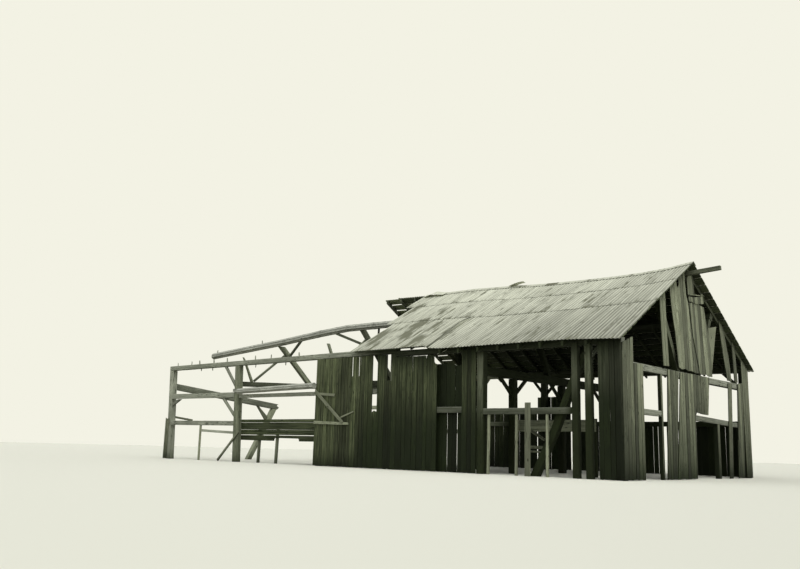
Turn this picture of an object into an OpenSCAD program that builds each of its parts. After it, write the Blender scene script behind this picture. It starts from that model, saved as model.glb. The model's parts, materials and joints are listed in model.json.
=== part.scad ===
// Derelict timber-frame barn, five bays long. The left half is bare frame, and the right half
// stands under a sagging roof of lapped corrugated sheets. X runs along the ridge, the long
// front wall faces -Y, and Z is up. Millimetres.
// X = 0 is half way between the left frame end and the tip of the hay beam.

/* [Frame] */
// Bay 1, from the left corner post to the second post
bay_1 = 4620; // [3800:10:5600]
// Bay 2
bay_2 = 4880; // [4000:10:5900]
// Bay 3
bay_3 = 3600; // [3000:10:4400]
// Bay 4
bay_4 = 3600; // [3000:10:4400]
// Bay 5, open at the front
bay_5 = 4600; // [3800:10:5600]
// Width over the wall posts
frame_w = 9750; // [8100:10:11700]
// Height of the wall plate's top at the left end
plate_h = 3980; // [3700:10:4800]
// How much higher the plate is where its left length ends
plate_rise = 50; // [0:5:80]
// How much lower the plate's right length starts
plate_step = 100; // [0:5:150]
// How much the right length falls to the gable
plate_drop = 70; // [0:5:150]
// Height of the tie beams' top
tie_h = 3260; // [2900:10:3400]
// How far the second tie beam slopes up to the back
tie_tilt = 450; // [0:10:500]
// How far the first tie beam has dropped at its broken end
tie_fall = 590; // [0:10:700]

/* [Timbers] */
// Wall posts, square
post_w = 240; // [180:5:290]
// Wall plate depth
plate_d = 190; // [150:5:230]
// Tie beam depth
tie_d = 270; // [200:5:330]
// Tie beam width
tie_w = 220; // [160:5:260]
// Girt depth
girt_d = 190; // [120:5:230]
// Girt width
girt_w = 150; // [90:5:180]
// Brace depth, measured across it
brace_d = 110; // [80:5:150]
// Brace thickness
brace_w = 80; // [60:5:120]
// Inner posts, square
aisle_post_w = 220; // [160:5:260]
// Inner posts' distance from the middle
aisle_out = 3050; // [2500:10:3600]
// Purlins, square
purlin_w = 230; // [180:5:280]
// Purlins' distance from the middle
purlin_out = 2050; // [1700:10:2500]
// Canted purlin posts, square
purlin_post_w = 190; // [150:5:230]
// Fallen purlin log, across its flats
log_w = 265; // [200:5:320]
// Rafter depth
rafter_d = 130; // [110:5:160]
// Rafter width
rafter_w = 70; // [50:5:100]
// Largest rafter spacing
rafter_gap = 780; // [600:10:1000]

/* [Lean] */
// How far the first post's top leans to the left
rack_1 = 230; // [0:10:350]
// How far the second post's top leans to the left
rack_2 = 180; // [0:10:300]
// How far the third post's top leans to the left
rack_3 = 70; // [0:10:200]

/* [Roof] */
// Height of the metal at the ridge
ridge_h = 6870; // [6500:10:8200]
// Rise of the ridge at its bare left end
ridge_rise = 60; // [0:5:100]
// How far the ridge sags
sag = 200; // [0:10:350]
// Length of the sagging stretch, from the roof's right end
sag_l = 8700; // [4500:50:9500]
// Height of the metal above the plate, over the left length
heel_left = 75; // [60:5:150]
// Height of the metal above the plate, over the right length
heel = 125; // [80:5:200]
// Overhang of the eaves past the frame
eave_out = 375; // [200:5:600]
// Overhang of the front eave where its sheets have slipped up
eave_short = 225; // [0:5:300]
// Overhang at the right gable
rake_out = 170; // [50:5:400]
// Front slope's metal, from the right frame end to its left edge at the ridge
front_metal_l = 10900; // [8000:50:12000]
// Back slope's boards, from the right frame end
back_boards_l = 13250; // [11000:50:14000]
// Back slope's metal, from the right frame end
back_metal_l = 12550; // [10500:50:13500]
// Distance from the ridge to the first lap
lap_1 = 1450; // [1000:10:1800]
// Distance from the ridge to the second lap
lap_2 = 3200; // [2500:10:3800]
// Overlap of the laps
lap = 120; // [60:10:200]
// Rib spacing of the sheets
rib_pitch = 122; // [60:1:160]
// Ribs covered by one sheet
ribs = 5; // [4:1:8]
// Depth of the ribs
rib_d = 18; // [10:1:30]
// Sheet thickness
sheet_t = 3; // [1:1:5]
// Clearance between the roof's layers
roof_clear = 1; // [0.5:0.5:3]
// Roof board thickness
deck_t = 25; // [18:1:35]
// Roof board width
deck_w = 290; // [180:5:320]
// Gap between the roof boards
deck_gap = 80; // [20:5:120]

/* [Walls] */
// Wall board thickness
board_t = 28; // [20:1:40]
// Height of the upper girts' top
girt_hi = 2760; // [2400:10:2900]
// Height of the lower girts' top
girt_lo = 1620; // [1300:10:1900]
// Height of the second bay's girt
girt_mid = 2650; // [2400:10:2800]
// Height of the girts right of the middle
girt_bay = 1960; // [1700:10:2200]
// Reach of the hay beam past the right frame end
hay_reach = 1030; // [500:10:1400]
// How far the gable's upper wall leans in at the ridge
gable_lean = 125; // [0:5:300]

/* [Hidden] */

pale = "#a3a390";
grey = "#8a8a78";
brown = "#5d5e47";
dark = "#37381f";
metal = "#b9b9ac";

hw = frame_w / 2;
frame_l = bay_1 + bay_2 + bay_3 + bay_4 + bay_5 + post_w;
x_left = -(frame_l + hay_reach) / 2;
x_right = x_left + frame_l;
b0 = x_left + post_w / 2;
bent_x = [
    b0, b0 + bay_1, b0 + bay_1 + bay_2, b0 + bay_1 + bay_2 + bay_3,
    b0 + bay_1 + bay_2 + bay_3 + bay_4, x_right - post_w / 2
];
last = len(bent_x) - 1;
rack = [rack_1, rack_2, rack_3, 0, 0, 0];
eave_y = hw + eave_out;
roof_right = x_right + rake_out;
plate_w = post_w;
tie_under = tie_h - tie_d;
// The plate's left length ends over the fourth post, and the right length butts its side
joint_x = bent_x[3] + post_w / 2;
// Left of this the front sheets have slipped up and the rafters end on the plate
tail_x = bent_x[4] - 1750;
slope_a = atan((ridge_h - plate_h - heel_left) / hw);
deck_v = deck_t / cos(slope_a) + roof_clear;
sheet_v = sheet_t / cos(slope_a);
lift_side = 1.3 * sheet_v;
lift_end = 3.4 * sheet_v;
metal_v = rib_d + sheet_v + roof_clear;
rafter_v = rafter_d / cos(slope_a);

// Stations of the sag, from its left end to the roof's right end, and the share of it at each.
// It deepens slowly towards the gable and ends in a short rise.
sag_share = [0, 0.2, 0.35, 0.6, 0.8, 0.88, 0.96, 0.97, 0.91, 0.65, 0.1];
sag_steps = len(sag_share) - 1;
sag_x = [for (k = [0 : sag_steps]) roof_right - sag_l + sag_l * k / sag_steps];

// Heights along the barn
function plate_top(x) = x < joint_x
    ? plate_h + plate_rise * (x - x_left) / (joint_x - x_left)
    : plate_h + plate_rise - plate_step - plate_drop * (x - joint_x) / (x_right - joint_x);
function plate_under(x) = plate_top(x) - plate_d;
function dip(x) = lookup(x, [for (k = [0 : sag_steps]) [sag_x[k], sag * sag_share[k]]]);
function ridge_z(x) = ridge_h - dip(x)
    + ridge_rise * max(0, x_right - front_metal_l - x) / (back_boards_l - front_metal_l);
// Metal over the wall's outer face
function wall_z(x) = lookup(x, [
    [sag_x[2], plate_h + plate_rise + heel_left],
    [sag_x[3], plate_top(sag_x[3]) + heel + 10],
    [sag_x[8], plate_top(sag_x[8]) + heel + 40],
    [roof_right, plate_top(x_right) + heel - 10]
]);
// Crest of the ribs, at y out from the ridge, before a sheet's lift over its neighbours
function roof_z(x, y) = ridge_z(x) + (wall_z(x) - ridge_z(x)) * y / hw;
function deck_top(x, y) = roof_z(x, y) - metal_v;
function rafter_top(x, y) = deck_top(x, y) - deck_v;
function rafter_under(x, y) = rafter_top(x, y) - rafter_v;
// Top of the boards that cover the plate's face, clear of the rafters' tails
function cover_top(x) = min(rafter_under(x, hw + board_t) - 6, plate_top(x) - 30);
// Where a rafter's underside comes down to the plate
function seat_y(x) = (rafter_under(x, 0) - plate_top(x)) * hw / (rafter_under(x, 0) - rafter_under(x, hw));
// Where the underside of the gable's rafters is at a height
function y_under(z) = (rafter_under(x_right, 0) - z) * hw
    / (rafter_under(x_right, 0) - rafter_under(x_right, hw));
// Places along X where a piece that follows the roof from x0 to x1 bends
function bends(x0, x1) = [
    x0,
    for (x = concat([x_right - front_metal_l], sag_x))
        if (x > x0 + 1 && x < x1 - 1)
            x,
    x1
];
function pitch_at(x) = atan((ridge_z(x) - wall_z(x)) / hw);
// Middle of a wall post at a height
function post_x(i, z) = bent_x[i] + rack[i] * (1 - z / plate_h);
function tie_2_top(y) = tie_h - 90 + tie_tilt * (y + hw) / frame_w;
function tie_1_top(y) = tie_h - tie_fall * (y + hw) / (1300 + hw);
// Inner face of the gable's upper wall
function gable_x(z) = x_right - gable_lean * (z - tie_h) / (ridge_h - tie_h);

module on_side(side) {
    mirror([0, side < 0 ? 1 : 0, 0])
        children();
}

// Profile in XZ, thick from y0 to y1
module in_xz(y0, y1) {
    translate([0, y1, 0])
        rotate([90, 0, 0])
            linear_extrude(y1 - y0)
                children();
}

// Profile in YZ, thick from x0 to x1
module in_yz(x0, x1) {
    translate([x0, 0, 0])
        rotate([90, 0, 90])
            linear_extrude(x1 - x0)
                children();
}

// Timber along X, its ends plumb and its top from za to zb
module along_x(xa, xb, y0, y1, za, zb, depth) {
    in_xz(y0, y1)
        polygon([[xa, za - depth], [xb, zb - depth], [xb, zb], [xa, za]]);
}

// Timber along Y, its ends plumb and its top from za to zb
module along_y(ya, yb, x0, x1, za, zb, depth) {
    in_yz(x0, x1)
        polygon([[ya, za - depth], [yb, zb - depth], [yb, zb], [ya, za]]);
}

// Upright with a level foot, leaning along X
module upright(xa, xb, y, w, d, z0, z1) {
    in_xz(y - d / 2, y + d / 2)
        polygon([[xa - w / 2, z0], [xa + w / 2, z0], [xb + w / 2, z1], [xb - w / 2, z1]]);
}

// Upright leaning along Y, each of its ends cut from z at its -Y side to z at its +Y side
module raker(x0, x1, ya, yb, w, foot, head) {
    in_yz(x0, x1)
        polygon([
            [ya - w / 2, foot[0]], [ya + w / 2, foot[1]],
            [yb + w / 2, head[1]], [yb - w / 2, head[0]]
        ]);
}

// Square-ended stick whose middle line runs from a to b
module strut(a, b, w, d) {
    v = b - a;
    l = norm(v);
    translate(a)
        rotate([0, -asin(v[2] / l), atan2(v[1], v[0])])
            translate([0, -w / 2, -d / 2])
                cube([l, w, d]);
}

// Hewn log with its corners taken off
module log(a, b, w) {
    v = b - a;
    c = 0.29 * w;
    h = w / 2;
    translate(a)
        rotate([0, 90 - asin(v[2] / norm(v)), atan2(v[1], v[0])])
            linear_extrude(norm(v))
                polygon([
                    [-h, c - h], [c - h, -h], [h - c, -h], [h, c - h],
                    [h, h - c], [h - c, h], [c - h, h], [-h, h - c]
                ]);
}

// Knee brace in an XZ plane, its foot on a face at x_low and x_high and its head under a beam
module knee_x(x_low, x_high, side, z_foot, run, z_head, y0, y1) {
    a = atan2(z_head - z_foot, run);
    in_xz(y0, y1)
        polygon([
            [x_low, z_foot], [x_high, z_foot + brace_d / cos(a)],
            [x_low + side * (run - brace_d / sin(a)), z_head], [x_low + side * run, z_head]
        ]);
}

// Knee brace between a leaning wall post and a plate or girt
module post_knee(i, side, z_foot, run, z_head, y0) {
    cut = brace_d / cos(atan2(z_head - z_foot, run));
    half = side * post_w / 2;
    knee_x(
        post_x(i, z_foot) + half, post_x(i, z_foot + cut) + half, side, z_foot, run, z_head,
        y0, y0 + brace_w
    );
}

// Knee brace in a YZ plane
module knee_y(face_y, side, z_foot, run, z_head, x0, x1) {
    a = atan2(z_head - z_foot, run);
    in_yz(x0, x1)
        polygon([
            [face_y, z_foot], [face_y, z_foot + brace_d / cos(a)],
            [face_y + side * (run - brace_d / sin(a)), z_head], [face_y + side * run, z_head]
        ]);
}

// Solid through convex rings of points, one at each place along X, on the +Y side
module skin(rings) {
    n = len(rings[0]);
    e = n * (len(rings) - 1);
    walls = [for (k = [0 : len(rings) - 2]) for (j = [0 : n - 1])
        let (a = n * k + j, b = n * k + (j + 1) % n)
            each j < n / 2 ? [[a, b + n, a + n], [a, b, b + n]] : [[a, b, a + n], [b, b + n, a + n]]
    ];
    ends = [for (j = [1 : n - 2]) each [[0, j + 1, j], [e, e + j, e + j + 1]]];
    polyhedron([for (r = rings) for (p = r) p], concat(walls, ends));
}

// Frame

// Post under a plate, its head cut to the plate's fall
module plate_post(x_foot, x_head, y, w) {
    half = w / 2;
    in_xz(y - half, y + half)
        polygon([
            [x_foot - half, 0], [x_foot + half, 0],
            [x_head + half, plate_under(x_head + half - 1)], [x_head - half, plate_under(x_head - half)]
        ]);
}

// Wall post of a bent, side -1 front and +1 back
module wall_post(i, side) {
    plate_post(post_x(i, 0), post_x(i, plate_under(bent_x[i])), side * (hw - post_w / 2), post_w);
}

module left_corner_post() {
    color(grey)
        wall_post(0, -1);
}

module front_posts() {
    color(brown)
        for (i = [1 : last])
            wall_post(i, -1);
}

// Two lighter posts in the open bay, which stand out from the wall and lap the plate's face
bay_post_w = 190;
bay_post_out = 50;
bay_post_x = [x_right - 1430, x_right - 1015];
bay_post_y = -hw - bay_post_out;
module bay_posts() {
    half = bay_post_w / 2;
    color(brown)
        for (x = bay_post_x)
            in_yz(x - half, x + half)
                polygon([
                    [bay_post_y, 0], [bay_post_y + bay_post_w, 0],
                    [bay_post_y + bay_post_w, plate_under(x + half)], [-hw, plate_under(x + half)],
                    [-hw, cover_top(x + half) - 12], [bay_post_y, cover_top(x + half) - 30]
                ]);
}

module back_posts() {
    color(brown)
        for (i = [0 : last])
            wall_post(i, 1);
}

// Inner posts that still stand in each frame; the back half of the fourth frame has gone
aisle_y = [
    [], [], [-aisle_out, 0, aisle_out], [-aisle_out, 0], [-aisle_out, 0, aisle_out]
];
module aisle_posts() {
    color(dark)
        for (i = [2 : 4])
            for (y = aisle_y[i])
                upright(bent_x[i], bent_x[i], y, aisle_post_w, aisle_post_w, 0, tie_under);
}

// Under the dropped end of the left tie beam
module leaning_centre_post() {
    color(brown)
        raker(
            bent_x[0] - tie_w / 2, bent_x[0] + tie_w / 2, -330, 1050, 250, [0, 0],
            [tie_1_top(925) - tie_d, tie_1_top(1175) - tie_d]
        );
}

// Height of its front face at y
function lean_face_z(y) = (y + 455) * (tie_1_top(925) - tie_d) / 1380 + 1;

// Both lengths of a plate, from y0 to y1
module plate(y0, y1) {
    along_x(x_left, joint_x, y0, y1, plate_top(x_left), plate_h + plate_rise, plate_d);
    along_x(joint_x + 1, x_right, y0, y1, plate_top(joint_x + 1), plate_top(x_right), plate_d);
}

module front_plate() {
    color(grey)
        plate(-hw, -hw + plate_w);
}

module back_plate() {
    color(brown)
        plate(hw - plate_w, hw);
}

module left_tie_beam() {
    x0 = bent_x[0] - tie_w / 2;
    color(grey)
        in_yz(x0, x0 + tie_w)
            polygon([
                [-hw + post_w, tie_1_top(-hw + post_w) - tie_d], [1220, tie_1_top(1220) - tie_d],
                [1330, tie_1_top(1330) - 160], [1180, tie_1_top(1180) - 90], [1280, tie_1_top(1280)],
                [-hw + post_w, tie_1_top(-hw + post_w)]
            ]);
}

module second_tie() {
    y_end = hw - post_w;
    along_y(
        -y_end, y_end, bent_x[1] - tie_w / 2, bent_x[1] + tie_w / 2,
        tie_2_top(-y_end), tie_2_top(y_end), 200
    );
}

module tie_beams() {
    y_end = hw - post_w;
    color(dark) {
        second_tie();
        for (i = [2 : 4])
            along_y(
                -y_end, i == 3 ? aisle_post_w / 2 + 60 : y_end,
                bent_x[i] - tie_w / 2, bent_x[i] + tie_w / 2, tie_h, tie_h, tie_d
            );
    }
}

module right_tie_beam() {
    color(grey)
        along_y(-hw + post_w, hw - post_w, x_right - tie_w, x_right, tie_h - 30, tie_h - 30, 200);
}

// The gable's far girt, and the near one at its height
low_d = 170;
low_top = girt_bay + 10;
low_y0 = -20;
low_fall = 120;
near_stud_y = -2420;
function low_beam_top(y) = low_top - low_fall * (y - low_y0) / (hw - post_w - low_y0);
module right_lower_beam() {
    color(grey) {
        along_y(low_y0, hw - post_w, x_right - girt_w, x_right, low_top, low_top - low_fall, low_d);
        along_y(-hw + post_w, near_stud_y, x_right - girt_w, x_right, low_top, low_top, low_d);
    }
}

stub_x = bent_x[1] - 2220;
stub_w = 90;
// Girt between two posts of a wall, from y0 to y1
module post_girt(i, z_a, z_b, depth, y0, y1) {
    along_x(
        post_x(i, z_a - depth) + post_w / 2, post_x(i + 1, z_b) - post_w / 2, y0, y1, z_a, z_b, depth
    );
}

module front_girts() {
    y0 = -hw;
    y1 = y0 + girt_w;
    color(grey) {
        post_girt(0, girt_hi, girt_hi - 20, girt_d + 20, y0, y1);
        post_girt(0, girt_lo, girt_lo - 20, girt_d, y0, y1);
        along_x(
            stub_x + stub_w / 2, post_x(1, 1190) - post_w / 2, y0 + 20, y0 + 80, 1270, 1190, 110
        );
        post_girt(1, girt_mid, girt_mid, 150, y0 + 40, y1);
        post_girt(2, girt_mid, girt_mid, girt_d - 30, y0, y1);
        post_girt(2, girt_lo, girt_lo, girt_d - 30, y0, y1);
        post_girt(3, girt_bay + 60, girt_bay + 60, girt_d, y0, y1);
        along_x(
            bent_x[4] + post_w / 2, bay_post_x[0] - bay_post_w / 2, y0, y1, girt_bay, girt_bay, girt_d
        );
    }
}

module back_girts() {
    color(brown)
        for (i = [0 : last - 1])
            for (z = i < 2 ? [girt_hi, girt_lo] : [girt_bay])
                post_girt(i, z, z, girt_d, hw - girt_w, hw);
}

// Girt sprung off the second post with its tenon, still held by the third
hewn_w = 215;
module hewn_log() {
    y = -hw - hewn_w / 2 - board_t;
    a = [bent_x[1] + 355, y, girt_hi - 5];
    b = [bent_x[2] - post_w / 2 + 20, y, girt_hi + 90];
    color(pale) {
        log(a, b, hewn_w);
        strut([a[0] - 450, -hw - 27, a[2] + 55], [a[0] + 60, -hw - 65, a[2]], 50, 120);
    }
}

module front_braces() {
    y0 = -hw + 20;
    girt_under = girt_hi - girt_d - 41;
    bay_face = bay_post_x[1] + bay_post_w / 2;
    color(grey) {
        post_knee(1, -1, 2930, 790, plate_under(bent_x[1] - 900), y0);
        post_knee(0, 1, 2230, 640, girt_under, y0);
        post_knee(1, -1, 1730, 900, girt_under, y0);
        post_knee(3, -1, 2480, 900, plate_under(bent_x[3] - 1000), -hw + girt_w + 1);
        knee_x(bay_face, bay_face, 1, 3300, 350, plate_under(bay_face + 350), y0, y0 + brace_w);
    }
}

module back_braces() {
    run = 640;
    color(brown)
        for (i = [1 : last])
            for (side = i == last ? [-1] : [-1, 1])
                post_knee(
                    i, side, 3080, run,
                    min(plate_under(bent_x[i] + side * 130), plate_under(bent_x[i] + side * 800)),
                    hw - 40 - brace_w
                );
}

// Knee braces under the tie beams, and those between the ties, the leaning posts and the purlin
module tie_braces() {
    color(dark) {
        purlin_braces();
        for (i = [2 : 4])
            for (y = aisle_y[i])
                for (side = i == 3 && y == 0 ? [-1] : [-1, 1])
                    knee_y(
                        y + side * aisle_post_w / 2, side, tie_under - 560, 700, tie_under,
                        bent_x[i] - brace_w / 2, bent_x[i] + brace_w / 2
                    );
        raker(
            bent_x[0] - brace_w / 2, bent_x[0] + brace_w / 2, 640, 60, 120,
            [lean_face_z(580), lean_face_z(700)],
            [tie_1_top(0) - tie_d, tie_1_top(120) - tie_d]
        );
    }
}

// Purlins

// The front purlin's left length has dropped off its posts towards the front
slump_line = [
    [x_left + 150, -2700, 4632], [bent_x[1] + 350, -2700, 4990],
    [bent_x[2] - 2450, -2530, 5225], [bent_x[2] - 1130, -2360, 5362],
    [bent_x[2] + 150, -2190, 5392], [bent_x[2] + 1120, -purlin_out, 5412]
];
module slump() {
    for (k = [0 : len(slump_line) - 2])
        log(slump_line[k], slump_line[k + 1], log_w);
}

module slumped_purlin() {
    color(pale)
        slump();
}

// Purlin under the rafters, canted square to the roof and sagging with it
module purlin(x0, x1, side) {
    on_side(side)
        skin([for (x = bends(x0, x1))
            let (
                a = pitch_at(x),
                z = rafter_under(x, purlin_out) - roof_clear,
                down = [0, cos(a), -sin(a)] * purlin_w / 2,
                in = [0, -sin(a), -cos(a)] * purlin_w,
                mid = [x, purlin_out, z]
            )
            [mid - down, mid + down, mid + down + in, mid - down + in]
        ]);
}

purlin_right = gable_x(roof_z(x_right, purlin_out)) - 10;
module front_purlin() {
    color(dark)
        purlin(bent_x[2] + 1500, purlin_right, -1);
}

module back_purlin() {
    color(dark)
        purlin(x_right - back_boards_l + 60, purlin_right, 1);
}

// Canted post from a tie beam up into the purlin, square to the roof
module purlin_post(i, side) {
    half = purlin_post_w / 2;
    x = i == last ? purlin_right - half - 20 : bent_x[i];
    z0 = i == last ? tie_h - 30 : tie_h;
    a = pitch_at(x);
    z_top = rafter_under(x, purlin_out) - (purlin_w - 12) * cos(a);
    y_top = purlin_out - (purlin_w - 12) * sin(a);
    y_foot = y_top - (z_top - z0) * tan(a);
    on_side(side)
        in_yz(x - half, x + half)
            polygon([
                [y_foot - half / cos(a), z0], [y_foot + half / cos(a), z0],
                [y_top + half * cos(a), z_top - half * sin(a)],
                [y_top - half * cos(a), z_top + half * sin(a)]
            ]);
}

module purlin_posts() {
    color(dark) {
        difference() {
            for (i = [3 : last])
                purlin_post(i, -1);
            front_purlin();
        }
        difference() {
            for (i = [2, 4, last])
                purlin_post(i, 1);
            back_purlin();
        }
    }
}

// The two posts that lean with the dropped purlin
module post_a() {
    raker(
        bent_x[1] - 75, bent_x[1] + 95, -900, -2600, 290, [tie_2_top(-1045), tie_2_top(-755)],
        [4825, 4825]
    );
}

module post_c() {
    difference() {
        strut([bent_x[2] - 20, -860, tie_h + 75], [bent_x[2] - 587, -2112, 5340], 190, 190);
        slump();
    }
}

module leaning_purlin_posts() {
    stub_z = plate_top(bent_x[2] + 500);
    color(brown) {
        post_a();
        post_c();
        raker(
            bent_x[1] - 60, bent_x[1] + 50, -4060, -4530, 110,
            [tie_2_top(-4115), tie_2_top(-4005)], [4180, 4060]
        );
        upright(bent_x[2] + 450, bent_x[2] + 270, -hw + post_w / 2, 100, 100, stub_z, stub_z + 380);
    }
}

// Each brace ends inside a timber, and is cut off at its face
module purlin_braces() {
    difference() {
        union() {
            strut([bent_x[1], -3960, tie_2_top(-3960) + 40], [bent_x[1], -2260, 4546], 80, 90);
            strut([bent_x[1] + 60, -2170, 4420], [bent_x[1] + 1330, -2640, 5010], 80, 100);
            strut([bent_x[2] - 1720, -2450, 5190], [bent_x[2] - 420, -1720, 4600], 80, 110);
            strut([bent_x[2] - 250, -3960, tie_h + 100], [bent_x[2] - 480, -1900, 4960], 80, 100);
            strut([bent_x[2] + 350, -2130, 5330], [bent_x[2] - 340, -1480, 4330], 80, 100);
        }
        post_a();
        post_c();
        slump();
        second_tie();
    }
}

// Roof

// Top of a level-topped rafter under the sloping boards
function rafter_line(x, y) = min(rafter_top(x - rafter_w / 2, y), rafter_top(x + rafter_w / 2, y));

// Rafter at x, its foot notched over the plate and plumb at the ridge
module rafter(x, side) {
    z_plate = max(plate_top(x - rafter_w / 2), plate_top(x + rafter_w / 2));
    y_tail = x < tail_x && side < 0 ? hw : eave_y - 30;
    on_side(side)
        in_yz(x - rafter_w / 2, x + rafter_w / 2)
            polygon([
                [0.5, rafter_line(x, 0.5)], [y_tail, rafter_line(x, y_tail)],
                [y_tail, y_tail > hw ? rafter_under(x, y_tail) : z_plate],
                [hw, y_tail > hw ? rafter_under(x, hw) : z_plate],
                [hw, z_plate], [seat_y(x), z_plate], [0.5, rafter_under(x, 0.5)]
            ]);
}

last_rafter_x = x_right - 900;
module rafter_row(x_first, side) {
    run = last_rafter_x - x_first;
    count = ceil(run / rafter_gap);
    for (k = [0 : count])
        rafter(x_first + run * k / count, side);
}

// The gable's own rafter, which leans in with the upper wall
module end_rafter(side) {
    x_in = x_right - gable_lean - rafter_w;
    y_end = hw - 5;
    z_seat = plate_top(x_in);
    outline = [
        for (y = [0.5, y_end])
            [y, min(rafter_top(x_right, y), rafter_top(x_in, y))],
        [y_end, z_seat], [seat_y(x_right), z_seat], [0.5, rafter_under(x_right, 0.5)]
    ];
    on_side(side)
        skin([for (out = [-rafter_w, 0])
            [for (p = outline) [gable_x(p[1]) - 0.5 + out, p[0], p[1]]]
        ]);
}

module front_rafters() {
    color(dark) {
        rafter_row(x_right - front_metal_l + 1130, -1);
        end_rafter(-1);
    }
}

module back_rafters() {
    color(dark) {
        rafter_row(x_right - back_boards_l + 120, 1);
        end_rafter(1);
    }
}

// Rows of spaced roof boards from x0 to x1, which follow the sag
deck_pitch = (deck_w + deck_gap) * cos(slope_a);
deck_rows = floor((eave_y - 60) / deck_pitch);
module deck(x0, x1, side) {
    on_side(side)
        for (r = [0 : deck_rows - 1])
            let (
                ya = 30 + r * deck_pitch,
                yb = ya + deck_w * cos(slope_a),
                xa = side < 0 && yb > hw + eave_short ? max(x0, tail_x) : x0
            )
            skin([for (x = bends(xa, x1))
                [
                    [x, ya, deck_top(x, ya)], [x, yb, deck_top(x, yb)],
                    [x, yb, rafter_top(x, yb) + roof_clear], [x, ya, rafter_top(x, ya) + roof_clear]
                ]
            ]);
}

module front_roof_boards() {
    color(dark)
        deck(x_right - front_metal_l + 950, roof_right - 10, -1);
}

module back_roof_boards() {
    color(dark)
        deck(x_right - back_metal_l + 150, roof_right - 10, 1);
}

module bare_roof_boards() {
    color(dark)
        deck(x_right - back_boards_l, x_right - back_metal_l + 149, 1);
}

// One corrugated sheet from rib ka to rib kb and from ya to yb out from the ridge.
// Its left edge and its lower edge lift over the neighbours that it laps.
half_pitch = rib_pitch / 2;
module sheet(x0, ka, kb, ya, yb, side) {
    on_side(side)
        skin([for (k = [ka : kb])
            let (
                x = x0 + k * half_pitch,
                lift = lift_side * (kb - k) / (2 * ribs + 2) - (k % 2) * rib_d,
                za = roof_z(x, ya) + lift,
                zb = roof_z(x, yb) + lift + lift_end
            )
            [[x, ya, za], [x, yb, zb], [x, yb, zb - sheet_v], [x, ya, za - sheet_v]]
        ]);
}

// Three courses of sheets. Each course starts its own number of half ribs from the left.
module metal_slope(x0, starts, side) {
    k_end = floor((roof_right - x0) / half_pitch);
    cover = 2 * ribs;
    y_lap = [8, lap_1 * cos(slope_a), lap_2 * cos(slope_a), eave_y];
    for (c = [0 : 2]) {
        ya = c == 0 ? y_lap[0] : y_lap[c] - lap / 2;
        columns = ceil((k_end - starts[c]) / cover);
        for (n = [0 : columns - 1]) {
            k_b = k_end - n * cover;
            k_a = max(starts[c], k_b - cover - 2);
            slipped = side < 0 && c == 2 && x0 + k_b * half_pitch < tail_x + 300;
            yb = c < 2 ? y_lap[c + 1] + lap / 2 : slipped ? hw + eave_short : eave_y;
            if (k_b - k_a > 2)
                sheet(x0, k_a, k_b, ya, yb, side);
        }
    }
}

module front_roof_metal() {
    color(metal) {
        metal_slope(x_right - front_metal_l, [0, 6, 12], -1);
        ridge_cap();
    }
}

module back_roof_metal() {
    color(metal)
        metal_slope(x_right - back_metal_l, [0, 0, 2], 1);
}

// Bent strips over the ridge, and the sheet that has curled up at the left
cap_w = 190;
cap_t = 4;
curl_l = 720;
curl_rise = 95;
module ridge_cap() {
    x0 = x_right - front_metal_l + curl_l;
    rise = lift_side + cap_t + 3;
    curl_z = ridge_h + lift_side + 1;
    for (side = [-1, 1])
        on_side(side)
            skin([for (x = bends(x0, roof_right))
                let (
                    z0 = roof_z(x, 1) + rise,
                    z1 = roof_z(x, cap_w) + rise
                )
                [[x, 1, z0], [x, cap_w, z1], [x, cap_w, z1 - cap_t], [x, 1, z0 - cap_t]]
            ]);
    curl = [for (k = [0 : 8]) [curl_l * (k / 8 - 1), curl_rise * pow(1 - k / 8, 2)]];
    translate([x0 - 20, 0, curl_z])
        rotate([90, 0, 0])
            translate([0, 0, -60])
                linear_extrude(420)
                    polygon(concat(curl, [for (k = [8 : -1 : 0]) curl[k] + [0, cap_t]]));
}

hay_d = 140;
module hay_beam() {
    x_in = x_right - 1900;
    x_tip = x_right + hay_reach;
    hay_w = 130;
    z_hung = rafter_under(last_rafter_x, hay_w / 2) - hay_d / 2 - 3;
    z_out = ridge_h - 330;
    z_in = z_out - (z_out - z_hung) * (x_tip - x_in) / (x_tip - last_rafter_x);
    collar_d = 120;
    collar_w = 50;
    x_collar = gable_x(ridge_h - 450) - rafter_w + 4;
    beam_z = z_in + (z_out - z_in) * (x_collar - x_in) / (x_tip - x_in);
    z_collar = beam_z - hay_d / 2 - 1;
    color(grey) {
        strut([x_in, 0, z_in], [x_tip - 3, 0, z_out], hay_w, hay_d);
        in_yz(x_collar, x_collar + collar_w)
            polygon([
                [-y_under(z_collar) + 1, z_collar], [-y_under(z_collar - collar_d) + 1, z_collar - collar_d],
                [y_under(z_collar - collar_d) - 1, z_collar - collar_d], [y_under(z_collar) - 1, z_collar]
            ]);
    }
}

// Walls

// Upright boards on the front wall's outer face
module front_outline(pts) {
    in_xz(-hw - board_t, -hw)
        polygon(pts);
}

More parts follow.
